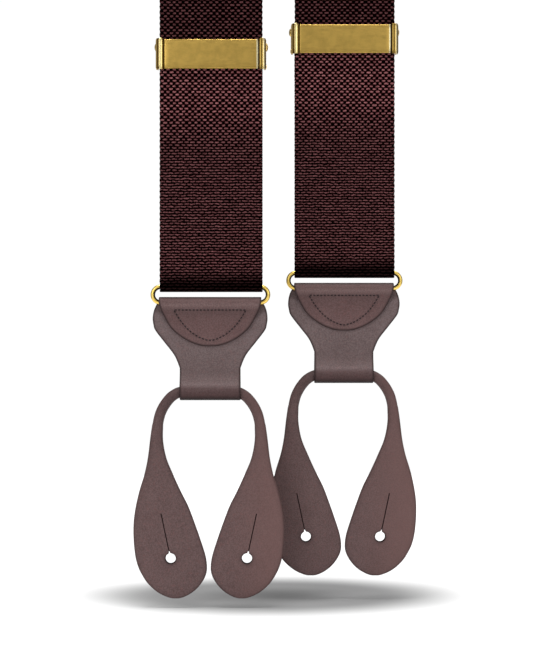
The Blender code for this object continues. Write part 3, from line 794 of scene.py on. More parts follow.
SATIN_BRASS = (0.72, 0.475, 0.115)
DARK_LEATHER = (0.092, 0.056, 0.055)
LIGHT_LEATHER = (0.186, 0.130, 0.129)
DARK_LOOP = (0.068, 0.0385, 0.0375)
LIGHT_LOOP = (0.146, 0.092, 0.090)
WEAVE_TONES = ((0.026, 0.0050, 0.0062), (0.150, 0.048, 0.052), (0.450, 0.185, 0.190))
WEBBING_MATERIAL = woven_material("burgundy_webbing", 52.0, WEAVE_TONES)
ELASTIC_MATERIAL = woven_material(
    "ribbed_elastic", 400.0, tuple(tuple(c * 0.85 for c in tone) for tone in WEAVE_TONES), False
)
TAB_MATERIAL = leather_material("tab_leather", DARK_LEATHER, LIGHT_LEATHER, tab=True)
LOOP_MATERIAL = leather_material("loop_leather", DARK_LOOP, LIGHT_LOOP, redder=0.1)
YOKE_MATERIAL = leather_material("yoke_leather", DARK_LEATHER, LIGHT_LEATHER)
CUT_MATERIAL = plain_dark_material("cut_leather", (0.020, 0.010, 0.010))
THREAD_MATERIAL = thread_material("burgundy_thread", (0.026, 0.010, 0.011))
PLATE_MATERIAL = plate_material("satin_brass_plate")
RING_MATERIAL = ring_material("polished_brass_wire")
PIN_MATERIAL = brass_material("brass_pin", (0.95, 0.68, 0.22), 0.34)[0]
LEVER_MATERIAL = brass_material("brass_lever", (0.66, 0.45, 0.13), 0.34)[0]


def place_piece(obj, material, nodes, body=None):
    """Gives a piece its material, hides the CAD nodes it stands for, and parents it to its body."""
    if not obj.data.materials:
        obj.data.materials.append(material)
    if nodes:
        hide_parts(*nodes)
    if body:
        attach(obj, body)
    return obj


# Webbing

WEBBING_SECTION = flat_section(6, 2, 0.0012)


def webbing(name, line, sides, along):
    """A woven strip whose edges are slightly scalloped where the weft turns back."""
    scallop = SCALLOP_DEPTH * np.cos(2 * pi * along * 1000 / SCALLOP_PITCH)
    half = HALF_WEBBING - SCALLOP_DEPTH + scallop
    half_depth = WEBBING_THICKNESS / 2
    strip = band(name, line, sides, half, half_depth, WEBBING_SECTION, half_depth * 0.7, along)
    smooth(strip, 60)
    return strip


def strap_line(side, bar, layer, split):
    """Centre line and width directions, from the end in the yoke over the rail to the fold."""
    step = ROW_PITCH / 2000
    sway = bar[1] - FOLD_RADIUS + STRAP_DEPTH
    front = -bar[2] - RAIL_RADIUS
    turning = -(split + TOUCH_GAP) - RAIL_RADIUS
    rail = pi * STRAP_DEPTH
    back = -YOKE_TOP - RAIL_RADIUS + YOKE_LAP
    lengths = np.arange(-front, rail + back, step)
    lean = STRAP_LEAN * smoothstep(lengths / rail)
    x = bar[0] - side * np.cumsum(np.sin(lean)) * step
    line = np.zeros((len(lengths), 3))
    line[:, 0] = x
    on_front = lengths < 0
    on_rail = (lengths >= 0) & (lengths < rail)
    behind = lengths >= rail
    line[on_front, 1] = -STRAP_DEPTH + sway * smoothstep(-lengths[on_front] / (turning * 0.9))
    line[on_front, 2] = lengths[on_front] - RAIL_RADIUS
    turn = pi - lengths[on_rail] / STRAP_DEPTH
    reach = STRAP_DEPTH + layer * smoothstep(2 * lengths[on_rail] / rail - 1)
    line[on_rail, 1] = reach * np.cos(turn)
    line[on_rail, 2] = reach * np.sin(turn) - RAIL_RADIUS
    line[behind, 1] = STRAP_DEPTH + layer
    line[behind, 2] = -RAIL_RADIUS - (lengths[behind] - rail)
    outward = np.tile((0.0, -1.0, 0.0), (len(lengths), 1))
    heading = np.tile((0.0, 0.0, 1.0), (len(lengths), 1))
    outward[on_rail] = np.column_stack([np.zeros(len(turn)), np.cos(turn), np.sin(turn)])
    heading[on_rail] = np.column_stack([np.zeros(len(turn)), np.sin(turn), -np.cos(turn)])
    outward[behind] = (0.0, 1.0, 0.0)
    heading[behind] = (0.0, 0.0, -1.0)
    heading = heading * np.cos(lean)[:, None] - X_AXIS * side * np.sin(lean)[:, None]
    sides = np.cross(heading, outward)
    sides /= np.linalg.norm(sides, axis=1)[:, None]
    return line[::-1], sides[::-1]


def fold_line(bar, back_leg):
    """Round under the bar and up behind it."""
    steps = int(round(back_leg * 2000 / ROW_PITCH))
    points = arc((0.0, 0.0), FOLD_RADIUS, 180, 360, 14)[1:]
    points += [(FOLD_RADIUS, back_leg * (step + 1) / steps) for step in range(steps)]
    return in_depth(points, bar)


def front_webbing(prefix, side, layer):
    bar = joint_place(prefix + "_ring_swing")
    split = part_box(prefix + "_strap")[0].z
    line, sides = strap_line(side, bar, layer, split)
    fold = fold_line(bar, FOLD_LEG)
    along = distances(np.vstack([line, fold]))
    along = along[len(line) - 1] - along
    sides = np.vstack([sides, np.tile(X_AXIS, (len(fold), 1))])
    strap = webbing(prefix + "_strap_webbing", np.vstack([line, fold]), sides, along)
    nodes = (prefix + "_strap", prefix + "_strap_run", prefix + "_strap_fold")
    place_piece(strap, WEBBING_MATERIAL, nodes)
    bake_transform(strap)
    return along[-1]


def cross_seams(bar, face, heights, outward):
    """Straight seams across the webbing, at these heights above the bar."""
    reach = HALF_WEBBING - SEAM_INSET
    return [
        (np.array([(-reach, face, height), (reach, face, height)]) + bar, (0, outward, 0))
        for height in heights
    ]


def return_webbing(prefix, along_start):
    """Up behind the strap to the adjuster, and sewn round its end bar."""
    bar = joint_place(prefix + "_ring_swing")
    hinge = joint_place(prefix + "_lever_lift")
    low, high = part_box(prefix + "_adjuster_end_bar")
    rise = (low.z + high.z) / 2 - bar[2]
    depth = (low.y + high.y) / 2 - bar[1]
    inner = depth - WRAP_RADIUS
    step = ROW_PITCH / 2000
    heights = np.arange(FOLD_LEG, rise, step)
    ease = smoothstep((heights - rise + 0.022) / 0.022)
    points = list(zip(FOLD_RADIUS + (inner - FOLD_RADIUS) * ease, heights))
    points += arc((depth, rise), WRAP_RADIUS, 180, 0, 12)
    tail = np.arange(rise - step, rise - WEBBING_TAIL, -step)
    points += [(depth + WRAP_RADIUS, height) for height in tail]
    line = in_depth(points, bar)
    along = along_start - distances(line)
    strip = webbing(prefix + "_return_webbing", line, X_AXIS, along)
    place_piece(strip, WEBBING_MATERIAL, (prefix + "_strap_return",))
    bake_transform(strip)
    face = depth + WRAP_RADIUS + WEBBING_THICKNESS / 2
    runs = cross_seams(bar, face, (rise - 0.0046, rise - 0.0078), 1)
    sewing = stitches(prefix + "_tail_stitching", runs)
    place_piece(sewing, THREAD_MATERIAL, (), prefix + "_adjuster")


def rear_webbing():
    bar = joint_place("rear_ring_swing")
    low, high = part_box("rear_elastic")
    step = ROW_PITCH / 2000
    heights = np.arange(high.z - bar[2], 0, -step)
    front = in_depth([(-FOLD_RADIUS, height) for height in heights], bar)
    fold = fold_line(bar, REAR_TAIL)
    line = np.vstack([front, fold])
    along = distances(line)
    along = along[len(front) - 1] - along
    strip = webbing("rear_elastic_webbing", line, X_AXIS, along)
    place_piece(strip, ELASTIC_MATERIAL, ("rear_elastic", "rear_elastic_fold"))
    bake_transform(strip)
    runs = []
    face = FOLD_RADIUS + WEBBING_THICKNESS / 2
    for outward in (-1, 1):
        runs += cross_seams(bar, face * outward, (0.0125, 0.0185), outward)
    sewing = stitches("rear_tail_stitching", runs)
    place_piece(sewing, THREAD_MATERIAL, (), "rear_lower_strap")


# Wire ring, leather tab and button loop


def ring_look(prefix):
    low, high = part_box(prefix + "_ring")
    bar = joint_place(prefix + "_ring_swing")
    bar[0] = (low.x + high.x) / 2
    bend = BAR_SPACING / 2
    straight = (high.x - low.x) / 2 - bend - WIRE_RADIUS
    right = arc((straight, -bend), bend, 90, -90, 20)
    left = arc((-straight, -bend), bend, 270, 90, 20)
    flats = [np.linspace(right[-1], left[0], 12)[1:-1], np.linspace(left[-1], right[0], 12)[1:-1]]
    points = np.vstack([right, flats[0], left, flats[1]])
    line = np.column_stack([points[:, 0], np.zeros(len(points)), points[:, 1]]) + bar
    ring = tube(prefix + "_wire_ring", line, (0.0, 1.0, 0.0), WIRE_RADIUS, 24, cyclic=True)
    middle = bar - (0.0, 0.0, bend)
    # How far each point faces the ring's middle, which places the ring's painted shade.
    inward = [inward_share(np.array(v.co) - middle, straight, bend) for v in ring.data.vertices]
    add_surface(ring.data, np.column_stack([inward, np.zeros(len(inward)), np.ones(len(inward))]))
    smooth(ring, 60)
    place_piece(ring, RING_MATERIAL, (prefix + "_ring",), prefix + "_ring")


def inward_share(place, straight, bend):
    """1 on the side of the wire that faces the ring's middle, -1 on the outer side."""
    core = np.array((np.clip(place[0], -straight, straight), 0.0, 0.0))
    reach = np.hypot(place[0] - core[0], place[2])
    return float(np.clip((bend - reach) / WIRE_RADIUS, -1, 1))


def tab_rows(drop_to_tunnel):
    """(depth, height, half-width, distance from the flap's tip) rows of the tab's strip."""
    rows = []
    flap_drops = TAB_FLAP[-1][0] * np.sin(np.linspace(pi / 2, 0, 34))[:-1]
    for drop, reach in zip(flap_drops, smooth_width(TAB_FLAP, flap_drops)):
        ease = 1 - smoothstep(drop / TAB_CLOSE)
        depth = -LEATHER_PITCH - (LEATHER_FOLD_RADIUS - LEATHER_PITCH) * ease
        rows.append((depth, -drop, reach))
    top = TAB_FLAP[0][1]
    rows += [(*point, top) for point in arc((0, 0), LEATHER_FOLD_RADIUS, 180, 0, 16)]
    drops = np.linspace(0, drop_to_tunnel, 66)[1:-1]
    for drop, reach in zip(drops, smooth_width(TAB_BODY, drops)):
        closing = LEATHER_FOLD_RADIUS * (1 - smoothstep(drop / TAB_CLOSE))
        opening = (TUNNEL_RADIUS - TUNNEL_DEPTH) * smoothstep(1 - (drop_to_tunnel - drop) / TUNNEL_TAPER)
        rows.append((closing - opening, -drop, reach))
    neck = TAB_BODY[-1][1]
    turn = arc((TUNNEL_DEPTH, -drop_to_tunnel), TUNNEL_RADIUS, 180, 360, 24)
    rows += [(*point, neck) for point in turn]
    for drop in np.linspace(drop_to_tunnel, TAB_TAIL_TOP, 60)[1:]:
        closing = LEATHER_FOLD_RADIUS * (1 - smoothstep(drop / TAB_CLOSE))
        opening = (TUNNEL_RADIUS + TUNNEL_DEPTH - LEATHER_PITCH) * smoothstep(
            1 - (drop_to_tunnel - drop) / TUNNEL_TAPER
        )
        rows.append((LEATHER_PITCH + closing + opening, -drop, neck))
    return np.array(rows)


def flap_seam():
    """The D-shaped seam: a straight row across the top and an arc below, as (x, drop)."""
    top = 0.0028
    half = 0.0133
    arc_points = [(half, top), (0.0110, 0.00645), (0.0085, 0.0095), (0.0054, 0.0120)]
    arc_points += [(0.0023, 0.0135), (0.0, 0.0140)]
    arc_points += [(-x, drop) for x, drop in reversed(arc_points[:-1])]
    return [(-half, top), (half, top)], smooth_curve(arc_points, 60)


def tab_look(prefix):
    bar = joint_place(prefix + "_tab_swing")
    tunnel = joint_place(prefix + "_loop_swing")
    rows = tab_rows(bar[2] - tunnel[2])
    line = in_depth(rows[:, :2], bar)
    section = flat_section(22, 3, 0.0006)
    tab = band(
        prefix + "_leather_tab", line, -X_AXIS, rows[:, 2], LEATHER_THICKNESS / 2, section, 0.0003
    )
    values = np.zeros(len(tab.data.vertices) * 3)
    tab.data.attributes["surface"].data.foreach_get("vector", values)
    values = values.reshape(-1, 3)
    along = distances(line) * 1000
    outline = [(-w * 1000, a) for w, a in zip(rows[:, 2], along)]
    outline += [(w * 1000, a) for w, a in reversed(list(zip(rows[:, 2], along)))]
    inner = edge_distance(values[:, :2], outline)
    values[:, 2] = np.where(values[:, 2] < 0.29, values[:, 2], inner)
    tab.data.attributes["surface"].data.foreach_set("vector", values.ravel())
    smooth(tab, 50)
    place_piece(tab, TAB_MATERIAL, (prefix + "_tab",), prefix + "_tab")

    lift = LEATHER_THICKNESS / 2
    runs = []
    for seam in flap_seam():
        seam = resample(seam, 80)
        drops = seam[:, 1]
        ease = smoothstep(drops / TAB_CLOSE)
        flap = -LEATHER_PITCH - (LEATHER_FOLD_RADIUS - LEATHER_PITCH) * (1 - ease) - lift
        body = LEATHER_FOLD_RADIUS * (1 - ease) + lift
        tail = body + LEATHER_PITCH
        rear = np.where(np.abs(seam[:, 0]) < TAB_BODY[-1][1] + 0.0003, tail, body)
        for depth, outward in ((flap, -1), (rear, 1)):
            points = np.column_stack([seam[:, 0], depth, -drops]) + bar
            runs.append((points, (0, outward, 0)))
    sewing = stitches(prefix + "_tab_stitching", runs, *TAB_STITCH)
    place_piece(sewing, THREAD_MATERIAL, (), prefix + "_tab")


def loop_half_rings(section):
    """Rings of the +X half of the button loop, from the tab's middle to the paddle's foot."""
    share, inset, face, corner_x, corner_y = section.T
    count = len(section)
    cord = smooth_curve([(x, z - LOOP_DROP) for x, z in CORD_LINE], 44)
    along = tangents(np.column_stack([cord, np.zeros(len(cord))]))[:, :2]
    outlines = smooth_curve([(h, inner, outer) for h, inner, outer in PADDLE], 110)
    order = np.argsort(outlines[:, 0])
    rings = []
    start = np.arctan2(corner_y[0], 1e-9 + share[0] * 1.35 + corner_x[0])
    first = start - np.linspace(0, 2 * pi, count, endpoint=False)
    depthwise = np.array((0.0, 1.0, 0.0))
    for (x, z), heading in zip(cord[:-1], along[:-1]):
        side = np.array((-heading[1], 0.0, heading[0]))
        centre = np.array((x, 0.0, z))
        rings.append([centre + CORD_RADIUS * (side * cos(a) - depthwise * sin(a)) for a in first])
    drops = np.concatenate([np.arange(0.0640, 0.0, -0.00095), [0.0020, 0.0012, 0.0006, 0.0002]])
    drops = np.array(sorted(set(np.round(drops, 6)), reverse=True))
    inner = np.interp(drops, outlines[order, 0], outlines[order, 1])
    outer = np.interp(drops, outlines[order, 0], outlines[order, 2])
    for height, low, high in zip(drops, inner, outer):
        half = (high - low) / 2
        flat = smoothstep((0.062 - height) / 0.020)
        half_depth = CORD_RADIUS + (PADDLE_HALF_DEPTH - CORD_RADIUS) * smoothstep((0.066 - height) / 0.022)
        corner = min(0.0006, half * 0.6)
        across = share * (half - corner) + inset * min(half / 0.004, 1.0) + corner_x * corner
        depth = face * (half_depth - corner) + corner_y * corner
        round_x = half * np.cos(first)
        round_y = half_depth * np.sin(first)
        x = (low + high) / 2 + across * flat + round_x * (1 - flat)
        y = depth * flat + round_y * (1 - flat)
        rings.append(np.column_stack([x, -y, np.full(count, height - LOOP_DROP)]))
    return np.array(rings)


def keyhole_cutter(name, side):
    """A round hole with softened rims, a small notch above it and a slit that doesn't gape."""
    shell = bmesh.new()
    rims = [(HOLE_RADIUS + 0.0012, 0.0022), (HOLE_RADIUS, 0.00078)]
    profile = rims + [(radius, -depth) for radius, depth in reversed(rims)]
    rings = []
    for radius, depth in profile:
        ring = []
        for angle in np.linspace(0, 2 * pi, 40, endpoint=False):
            ring.append(shell.verts.new((radius * cos(angle), depth, radius * sin(angle))))
        rings.append(ring)
    join_rings(shell, rings)
    # The notch, open right through, just above the hole
    add_prism(shell, [(-0.00055, 0.0014), (0.00055, 0.0014), (0.00012, 0.0027), (-0.00012, 0.0027)], 0.003)
    # The slit, a narrow V from each face
    for face in (-1, 1):
        top = HOLE_RADIUS + SLIT_LENGTH
        deep = 0.00035
        wide = 0.00019
        outer = 0.0014
        reach = wide * (outer - deep) / (PADDLE_HALF_DEPTH - deep)
        corners = []
        for z in (0.0015, top):
            corners.append([(0.0, face * deep, z), (reach, face * outer, z), (-reach, face * outer, z)])
        join_rings(shell, [[shell.verts.new(p) for p in ring] for ring in corners])
    bmesh.ops.recalc_face_normals(shell, faces=shell.faces)
    mesh = bpy.data.meshes.new(name)
    shell.to_mesh(mesh)
    shell.free()
    mesh.materials.append(CUT_MATERIAL)
    cutter = new_object(name, mesh)
    cutter.rotation_euler = (0.0, side * SLIT_LEAN, 0.0)
    cutter.location = (side * HOLE_OFFSET, 0.0, HOLE_HEIGHT - LOOP_DROP)
    return cutter


def add_prism(shell, outline, depth):
    low = [shell.verts.new((x, -depth, z)) for x, z in outline]
    high = [shell.verts.new((x, depth, z)) for x, z in outline]
    join_rings(shell, [low, high])


def loop_mesh():
    """The button loop round the origin, which is the tunnel's middle."""
    section = flat_section(24, 3, 0.0006)
    half = loop_half_rings(section)
    mirrored = half * np.array((-1.0, 1.0, 1.0))
    # The mirrored half runs the other way round its rings, so that the skin joins
    mirrored = match_rings(half[0], mirrored)
    rings = np.concatenate([half[::-1], mirrored[1:]])
    loop = ring_mesh("loop_blank", rings)
    for side in (-1, 1):
        cutter = keyhole_cutter("keyhole", side)
        cut = loop.modifiers.new("keyhole", "BOOLEAN")
        cut.operation = "DIFFERENCE"
        cut.object = cutter
        cut.solver = "EXACT"
        cut.use_self = True
        cut.material_mode = "TRANSFER"
    loop.data.materials.append(LOOP_MATERIAL)
    bpy.context.view_layer.update()
    applied(loop)
    for obj in list(bpy.data.objects):
        if obj.name.startswith("keyhole"):
            bpy.data.objects.remove(obj, do_unlink=True)
    mesh = loop.data
    points = mesh_points(mesh)
    outline = [(x, z - LOOP_DROP) for x, z in paddle_border()]
    edge = np.full(len(points), 1.0)
    for side in (-1, 1):
        border = np.array(outline) * (side, 1.0)
        hole = np.array(arc((0.0, 0.0), HOLE_RADIUS + 0.0001, 0, 360, 24))
        hole = hole + (side * HOLE_OFFSET, HOLE_HEIGHT - LOOP_DROP)
        near = points[:, 0] * side > 0
        flat = points[:, [0, 2]]
        edge = np.where(near, np.minimum(edge, edge_distance(flat, border, closed=False)), edge)
        edge = np.where(near, np.minimum(edge, edge_distance(flat, hole)), edge)
    # On the round cord the edge value is a painted shade: it falls towards the cord's sides, so they are
    # darkened like an edge while its front stays light.
    cord = points[:, 2] > CORD_FOOT - LOOP_DROP
    aside = np.sqrt(np.maximum(CORD_RADIUS**2 - points[:, 1] ** 2, 0.0))
    edge[cord] = (CORD_RADIUS - aside + 0.0004)[cord]
    add_surface(mesh, np.column_stack([points[:, 0] * 1000, points[:, 2] * 1000, edge * 1000]))
    bpy.data.objects.remove(loop, do_unlink=True)
    return mesh


def paddle_border():
    """The paddle's outline in (x, height), down the outer edge and up the inner one."""
    outlines = smooth_curve([(h, inner, outer) for h, inner, outer in PADDLE], 110)
    outer = [(row[2], row[0]) for row in outlines]
    inner = [(row[1], row[0]) for row in outlines[::-1]]
    return outer + inner


def match_rings(first, mirrored):
    """Renumbers the mirrored rings so that their first ring meets the given one point by point."""
    count = len(first)
    best = None
    for turn in (1, -1):
        for start in range(count):
            order = (start + turn * np.arange(count)) % count
            gap = np.abs(mirrored[0][order] - first).sum()
            if best is None or gap < best[0]:
                best = (gap, order)
    return mirrored[:, best[1]]


def loop_look(prefix, mesh):
    tunnel = joint_place(prefix + "_loop_swing")
    copy = mesh.copy()
    copy.transform(Matrix.Translation(Vector(tunnel)))
    loop = new_object(prefix + "_loop_leather", copy)
    smooth(loop, 40)
    place_piece(loop, LOOP_MATERIAL, (prefix + "_button_loop",), prefix + "_loop")


# Sliding adjuster


def adjuster_line():
    """The stamped sheet seen from above, from one side wall round to the other."""
    wall = HALF_WEBBING + SIDE_CLEARANCE + PLATE_THICKNESS / 2
    front = -(FOLD_RADIUS + WEBBING_THICKNESS / 2 + TOUCH_GAP + PLATE_THICKNESS / 2)
    roll = (wall - ROLL_RADIUS, front + 0.00035)
    half = [(wall, y) for y in np.linspace(SIDE_WALL_BACK, roll[1], 8)]
    half += arc(roll, ROLL_RADIUS, 0, -150, 22)[1:]
    half += [(PLATE_WIDTH / 2 + 0.0001, front + 0.00002)]
    half += [(x, front) for x in np.linspace(PLATE_WIDTH / 2 - 0.0003, 0, 12)]
    return np.array(half + [(-x, y) for x, y in reversed(half[:-1])])


def adjuster_look(prefix):
    low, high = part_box(prefix + "_adjuster_frame")
    bar_depth = joint_place(prefix + "_ring_swing")[1]
    centre = np.array(((low.x + high.x) / 2, bar_depth, (low.z + high.z) / 2))
    flat = adjuster_line()
    line = np.column_stack([flat, np.zeros(len(flat))]) + centre
    plate = ADJUSTER_HEIGHT / 2
    on_plate = smoothstep((np.abs(flat[:, 0]) - PLATE_WIDTH / 2) / 0.0004)
    heights = plate + ROLL_EXTRA_HEIGHT * on_plate
    heights -= 0.0009 * smoothstep((flat[:, 1] - flat[:, 1].min() - 0.0015) / 0.0050)
    section = flat_section(6, 3, 0.00055)
    share, inset, face, corner_x, corner_y = section.T
    rows = len(line)
    up = np.array((0.0, 0.0, 1.0))
    outward = np.cross(tangents(line), up)
    outward /= np.linalg.norm(outward, axis=1)[:, None]
    if (outward[rows // 2] @ np.array((0.0, -1.0, 0.0))) < 0:
        outward = -outward
    corner = 0.00016
    half = heights[:, None]
    across = share * (half - corner) + inset + corner_x * corner
    depth = face * (PLATE_THICKNESS / 2 - corner) + corner_y * corner
    chamfer = (np.abs(share) == 1) & (inset == 0) & (face == 1) & (corner_x == 0)
    depth = depth - 0.00016 * (chamfer | ((corner_x != 0) & (face == 1)))
    rings = line[:, None, :] + up * across[..., None] + outward[:, None, :] * depth[None, :, None]
    wall = HALF_WEBBING + SIDE_CLEARANCE + PLATE_THICKNESS
    from_side = wall - np.abs(rings[..., 0] - centre[0])
    # Where the sheet is rolled; the plate's material paints reflections there.
    rolled = 1 - smoothstep((flat[:, 1] - flat[:, 1].min() - 0.0018) / 0.0006)
    side = np.sign(rings[..., 0] - centre[0]) * rolled[:, None] / 1000
    surface = np.stack([from_side, across, side], axis=-1) * 1000
    frame_piece = ring_mesh(prefix + "_adjuster_plate", rings, surface)
    smooth(frame_piece, 30)
    nodes = (prefix + "_adjuster_frame",)
    place_piece(frame_piece, PLATE_MATERIAL, nodes, prefix + "_adjuster")

    hinge = joint_place(prefix + "_lever_lift")
    low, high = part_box(prefix + "_adjuster_hinge_pin")
    tip = (high.x - low.x) / 2 + 0.0002
    seat = wall
    dome = [
        (HINGE_HEAD_RADIUS * sin(a), seat + (tip - seat) * cos(a))
        for a in np.linspace(0.02, pi / 2, 8)
    ]
    profile = dome + [(HINGE_PIN_RADIUS, seat - 0.00002)]
    profile += [(radius, -x) for radius, x in reversed(profile)]
    rivet = turned(prefix + "_hinge_rivet", profile, hinge)
    smooth(rivet, 40)
    place_piece(rivet, PIN_MATERIAL, (prefix + "_adjuster_hinge_pin",), prefix + "_adjuster")

    bar = box_centre(prefix + "_adjuster_end_bar")
    peened = [(END_BAR_RADIUS * 0.5, wall + 0.00022), (END_BAR_RADIUS * 0.95, wall + 0.00012)]
    peened += [(END_BAR_RADIUS, wall - 0.0001)]
    profile = peened + [(radius, -x) for radius, x in reversed(peened)]
    end_bar = turned(prefix + "_sewn_bar", profile, bar)
    smooth(end_bar, 40)
    place_piece(end_bar, PIN_MATERIAL, (prefix + "_adjuster_end_bar",), prefix + "_adjuster")

    lever_look(prefix, hinge)


def lever_look(prefix, hinge):
    """A toothed lip, a roll round the hinge pin and a flap that is lifted to let go."""
    roll = HINGE_PIN_RADIUS + PIN_GAP + LEVER_THICKNESS / 2
    hinge_depth = hinge[1] - joint_place(prefix + "_ring_swing")[1]
    webbing_back = hinge_depth + FOLD_RADIUS - WEBBING_THICKNESS / 2
    lip = -(webbing_back - TOUCH_GAP - LEVER_THICKNESS / 2)
    points = [(lip, z) for z in np.linspace(-LEVER_LIP_DROP, 0, 4)[:-1]]
    points += arc((0.0, 0.0), roll, 180, 0, 20)
    flap = smooth_curve(
        [(roll, -0.0004), (LEVER_FLAP_DEPTH * 0.72, -0.0018), (LEVER_FLAP_DEPTH, -0.0034),
         (LEVER_FLAP_DEPTH, -LEVER_FLAP_DROP)], 16
    )
    points += [tuple(p) for p in flap]
    low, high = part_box(prefix + "_adjuster_lever")
    reach = (high.x - low.x) / 2
    line = in_depth(points, hinge)
    section = flat_section(36, 2, 0.0004)
    lever = band(prefix + "_grip_lever", line, X_AXIS, reach, LEVER_THICKNESS / 2, section, 0.0002)
    for vertex in lever.data.vertices:
        if abs(vertex.co.z - line[0][2]) < 0.00002:
            tooth = abs(((vertex.co.x - hinge[0]) * 1000) % 2.0 - 1.0)
            vertex.co.z += 0.0005 * tooth
    smooth(lever, 35)
    place_piece(lever, LEVER_MATERIAL, (prefix + "_adjuster_lever",), prefix + "_lever")


# Yoke


def yoke_outline(inset):
    """The patch's outline in (x, z), drawn in by so much."""
    corner = YOKE_OUTLINE[-1][0] - YOKE_CORNER
    foot = arc((corner, YOKE_CORNER - YOKE_HEIGHT), YOKE_CORNER, 0, -90, 12)
    half = YOKE_OUTLINE + foot
    outline = half + [(-x, z) for x, z in reversed(half)] + [(0.0, -YOKE_NOTCH)]
    outline = np.array(outline)
    if not inset:
        return outline
    before = np.roll(outline, 1, axis=0)
    after = np.roll(outline, -1, axis=0)
    ahead = (after - before) / np.linalg.norm(after - before, axis=1)[:, None]
    inward = np.column_stack([-ahead[:, 1], ahead[:, 0]])
    if ((outline + inward * 0.001)[2] - outline[2])[0] > 0:
        inward = -inward
    return outline + inward * inset


def yoke_look(name, node, outward):
    low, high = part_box(node)
    depth = (low.y + high.y) / 2
    half_depth = (high.y - low.y) / 2
    outline = yoke_outline(0.0)
    curve = bpy.data.curves.new(name, "CURVE")
    curve.dimensions = "2D"
    curve.fill_mode = "BOTH"
    curve.bevel_depth = 0.0003
    curve.bevel_resolution = 3
    curve.offset = -0.0003
    curve.extrude = half_depth - 0.0003
    spline = curve.splines.new("POLY")
    spline.points.add(len(outline) - 1)
    spline.use_cyclic_u = True
    for target, (x, z) in zip(spline.points, outline):
        target.co = (x, z, 0.0, 1.0)
    blank = bpy.data.objects.new(name + "_curve", curve)
    blank.location = (0.0, depth, high.z)
    blank.rotation_euler = (pi / 2, 0.0, 0.0)
    bpy.context.scene.collection.objects.link(blank)
    bpy.context.view_layer.update()
    graph = bpy.context.evaluated_depsgraph_get()
    mesh = bpy.data.meshes.new_from_object(blank.evaluated_get(graph))
    mesh.transform(blank.matrix_world)
    bpy.data.objects.remove(blank, do_unlink=True)
    patch = bmesh.new()
    patch.from_mesh(mesh)
    bmesh.ops.remove_doubles(patch, verts=patch.verts, dist=0.00001)
    for axis, size, half in ((0, 0.0015, 0.036), (2, 0.0015, 0.06)):
        for number in range(int(2 * half / size)):
            place = [0.0, 0.0, high.z - half]
            normal = [0.0, 0.0, 0.0]
            place[axis] += -half + size * number
            normal[axis] = 1.0
            geometry = list(patch.verts) + list(patch.edges) + list(patch.faces)
            bmesh.ops.bisect_plane(patch, geom=geometry, plane_co=place, plane_no=normal)
    patch.to_mesh(mesh)
    patch.free()
    mesh.materials.clear()
    points = mesh_points(mesh)
    flat = points[:, [0, 2]] - (0.0, high.z)
    edge = edge_distance(flat, outline)
    add_surface(mesh, np.column_stack([flat * 1000, edge * 1000]))
    piece = new_object(name, mesh)
    smooth(piece, 40)
    place_piece(piece, YOKE_MATERIAL, (node,), "straps")
    face = depth + outward * half_depth
    runs = []
    for inset in (0.0022, 0.0042):
        seam = yoke_outline(inset)
        seam = np.vstack([seam, seam[:1]])
        points = np.column_stack([seam[:, 0], np.full(len(seam), face), seam[:, 1] + high.z])
        runs.append((points, (0, outward, 0)))
    return runs


def all_pieces():
    for prefix, side, layer in (("left", -1, 0.0), ("right", 1, WEBBING_THICKNESS + TOUCH_GAP)):
        along = front_webbing(prefix, side, layer)
        return_webbing(prefix, along)
        adjuster_look(prefix)
    rear_webbing()
    mesh = loop_mesh()
    for prefix in ("left", "right", "rear"):
        ring_look(prefix)
        tab_look(prefix)
        loop_look(prefix, mesh)
    runs = yoke_look("yoke_front_leather", "yoke_front_patch", -1)
    runs += yoke_look("yoke_back_leather", "yoke_back_patch", 1)
    sewing = stitches("yoke_stitching", runs)
    place_piece(sewing, THREAD_MATERIAL, (), "straps")


all_pieces()


# Floor, light and camera


FLOOR_GAP = 0.0034
FLOOR_RADIUS = 0.42
FLOOR_GLOW = 0.48
SHADE_REACH = (0.088, 0.043)


def floor_look():
    """A white, partly self-lit floor just under the object, with a soft shade painted on it."""
    level = CAD_BOX[0].z - FLOOR_GAP
    mesh = bpy.data.meshes.new("floor")
    disc = bmesh.new()
    bmesh.ops.create_circle(disc, cap_ends=True, segments=96, radius=FLOOR_RADIUS)
    disc.to_mesh(mesh)
    disc.free()
    floor = new_object("floor", mesh)
    floor.location = (0.0, 0.0, level)
    material, tree, shader = start_material("white_floor", 0.9, specular=0.0)
    place = add_node(tree, "ShaderNodeTexCoord").outputs["Object"]
    middle = add_node(
        tree, "ShaderNodeVectorMath", {0: place, 1: (0.002, 0.006, 0.0)}, operation="ADD"
    ).outputs[0]
    stretched = scaled(tree, middle, (1 / SHADE_REACH[0], 1 / SHADE_REACH[1], 0.0))
    radius = add_node(tree, "ShaderNodeVectorMath", {0: stretched}, operation="LENGTH").outputs["Value"]
    shade = remap(tree, radius, 1.0, 0.48)
    colour = mix(tree, shade, (1.0, 1.0, 1.0), (0.31, 0.31, 0.31))
    core = remap(tree, radius, 0.42, 0.05, 0.0, 0.38)
    colour = mix(tree, core, colour, (0.0, 0.0, 0.0))
    lit = mix(tree, 1.0, colour, (0.40, 0.40, 0.40), "MULTIPLY")
    tree.links.new(lit, shader.inputs["Base Color"])
    tree.links.new(colour, shader.inputs["Emission Color"])
    shader.inputs["Emission Strength"].default_value = FLOOR_GLOW
    mesh.materials.append(material)


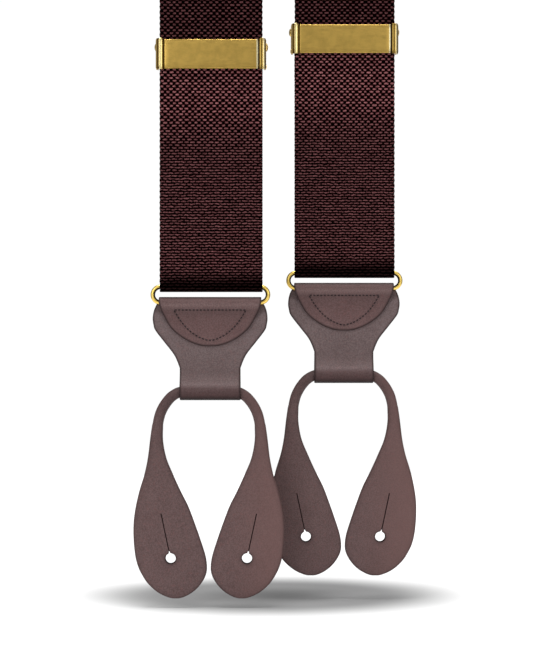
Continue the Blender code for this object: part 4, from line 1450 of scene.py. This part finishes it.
def area_light(name, place, target, size, power, colour=(1, 1, 1)):
    data = bpy.data.lights.new(name, "AREA")
    data.shape = "RECTANGLE"
    data.size, data.size_y = size
    data.energy = power
    data.color = colour
    obj = bpy.data.objects.new(name, data)
    obj.location = place
    obj.rotation_euler = (Vector(target) - Vector(place)).to_track_quat("-Z", "Y").to_euler()
    bpy.context.scene.collection.objects.link(obj)
    return obj


def world_look():
    """White to the camera, and a low even light to everything else."""
    world = bpy.data.worlds.new("studio")
    bpy.context.scene.world = world
    world.use_nodes = True
    tree = world.node_tree
    background = tree.nodes["Background"]
    background.inputs["Color"].default_value = (1, 1, 1, 1)
    background.inputs["Strength"].default_value = 0.22
    seen = add_node(tree, "ShaderNodeBackground", {"Color": (1, 1, 1, 1), "Strength": 1.02})
    path = add_node(tree, "ShaderNodeLightPath")
    both = add_node(tree, "ShaderNodeMixShader", {0: path.outputs["Is Camera Ray"]})
    tree.links.new(background.outputs[0], both.inputs[1])
    tree.links.new(seen.outputs[0], both.inputs[2])
    tree.links.new(both.outputs[0], tree.nodes["World Output"].inputs["Surface"])


def camera_look():
    """Level with the tabs, a little left of the middle."""
    left = joint_place("left_ring_swing")
    data = bpy.data.cameras.new("camera")
    data.lens = 68.6
    data.sensor_width = 36.0
    camera = bpy.data.objects.new("camera", data)
    camera.location = (-0.0046, left[1] - 0.4685, left[2] - 0.01705)
    camera.rotation_euler = (pi / 2, 0.0, 0.0)
    bpy.context.scene.collection.objects.link(camera)
    bpy.context.scene.camera = camera


floor_look()
world_look()
camera_look()
MIDDLE = (0.0, -0.02, -0.58)
area_light("overhead", (0.0, -0.16, 2.2), (0.0, -0.02, -0.68), (1.4, 1.0), 138.0)
area_light("front_left", (-0.75, -1.15, -0.15), MIDDLE, (0.7, 0.9), 6.2)
area_light("front_right", (0.75, -1.15, -0.25), MIDDLE, (0.6, 0.9), 4.2)
area_light("behind", (0.3, 1.1, -0.1), MIDDLE, (0.8, 0.8), 5.0)
bpy.context.scene.view_settings.view_transform = "Standard"
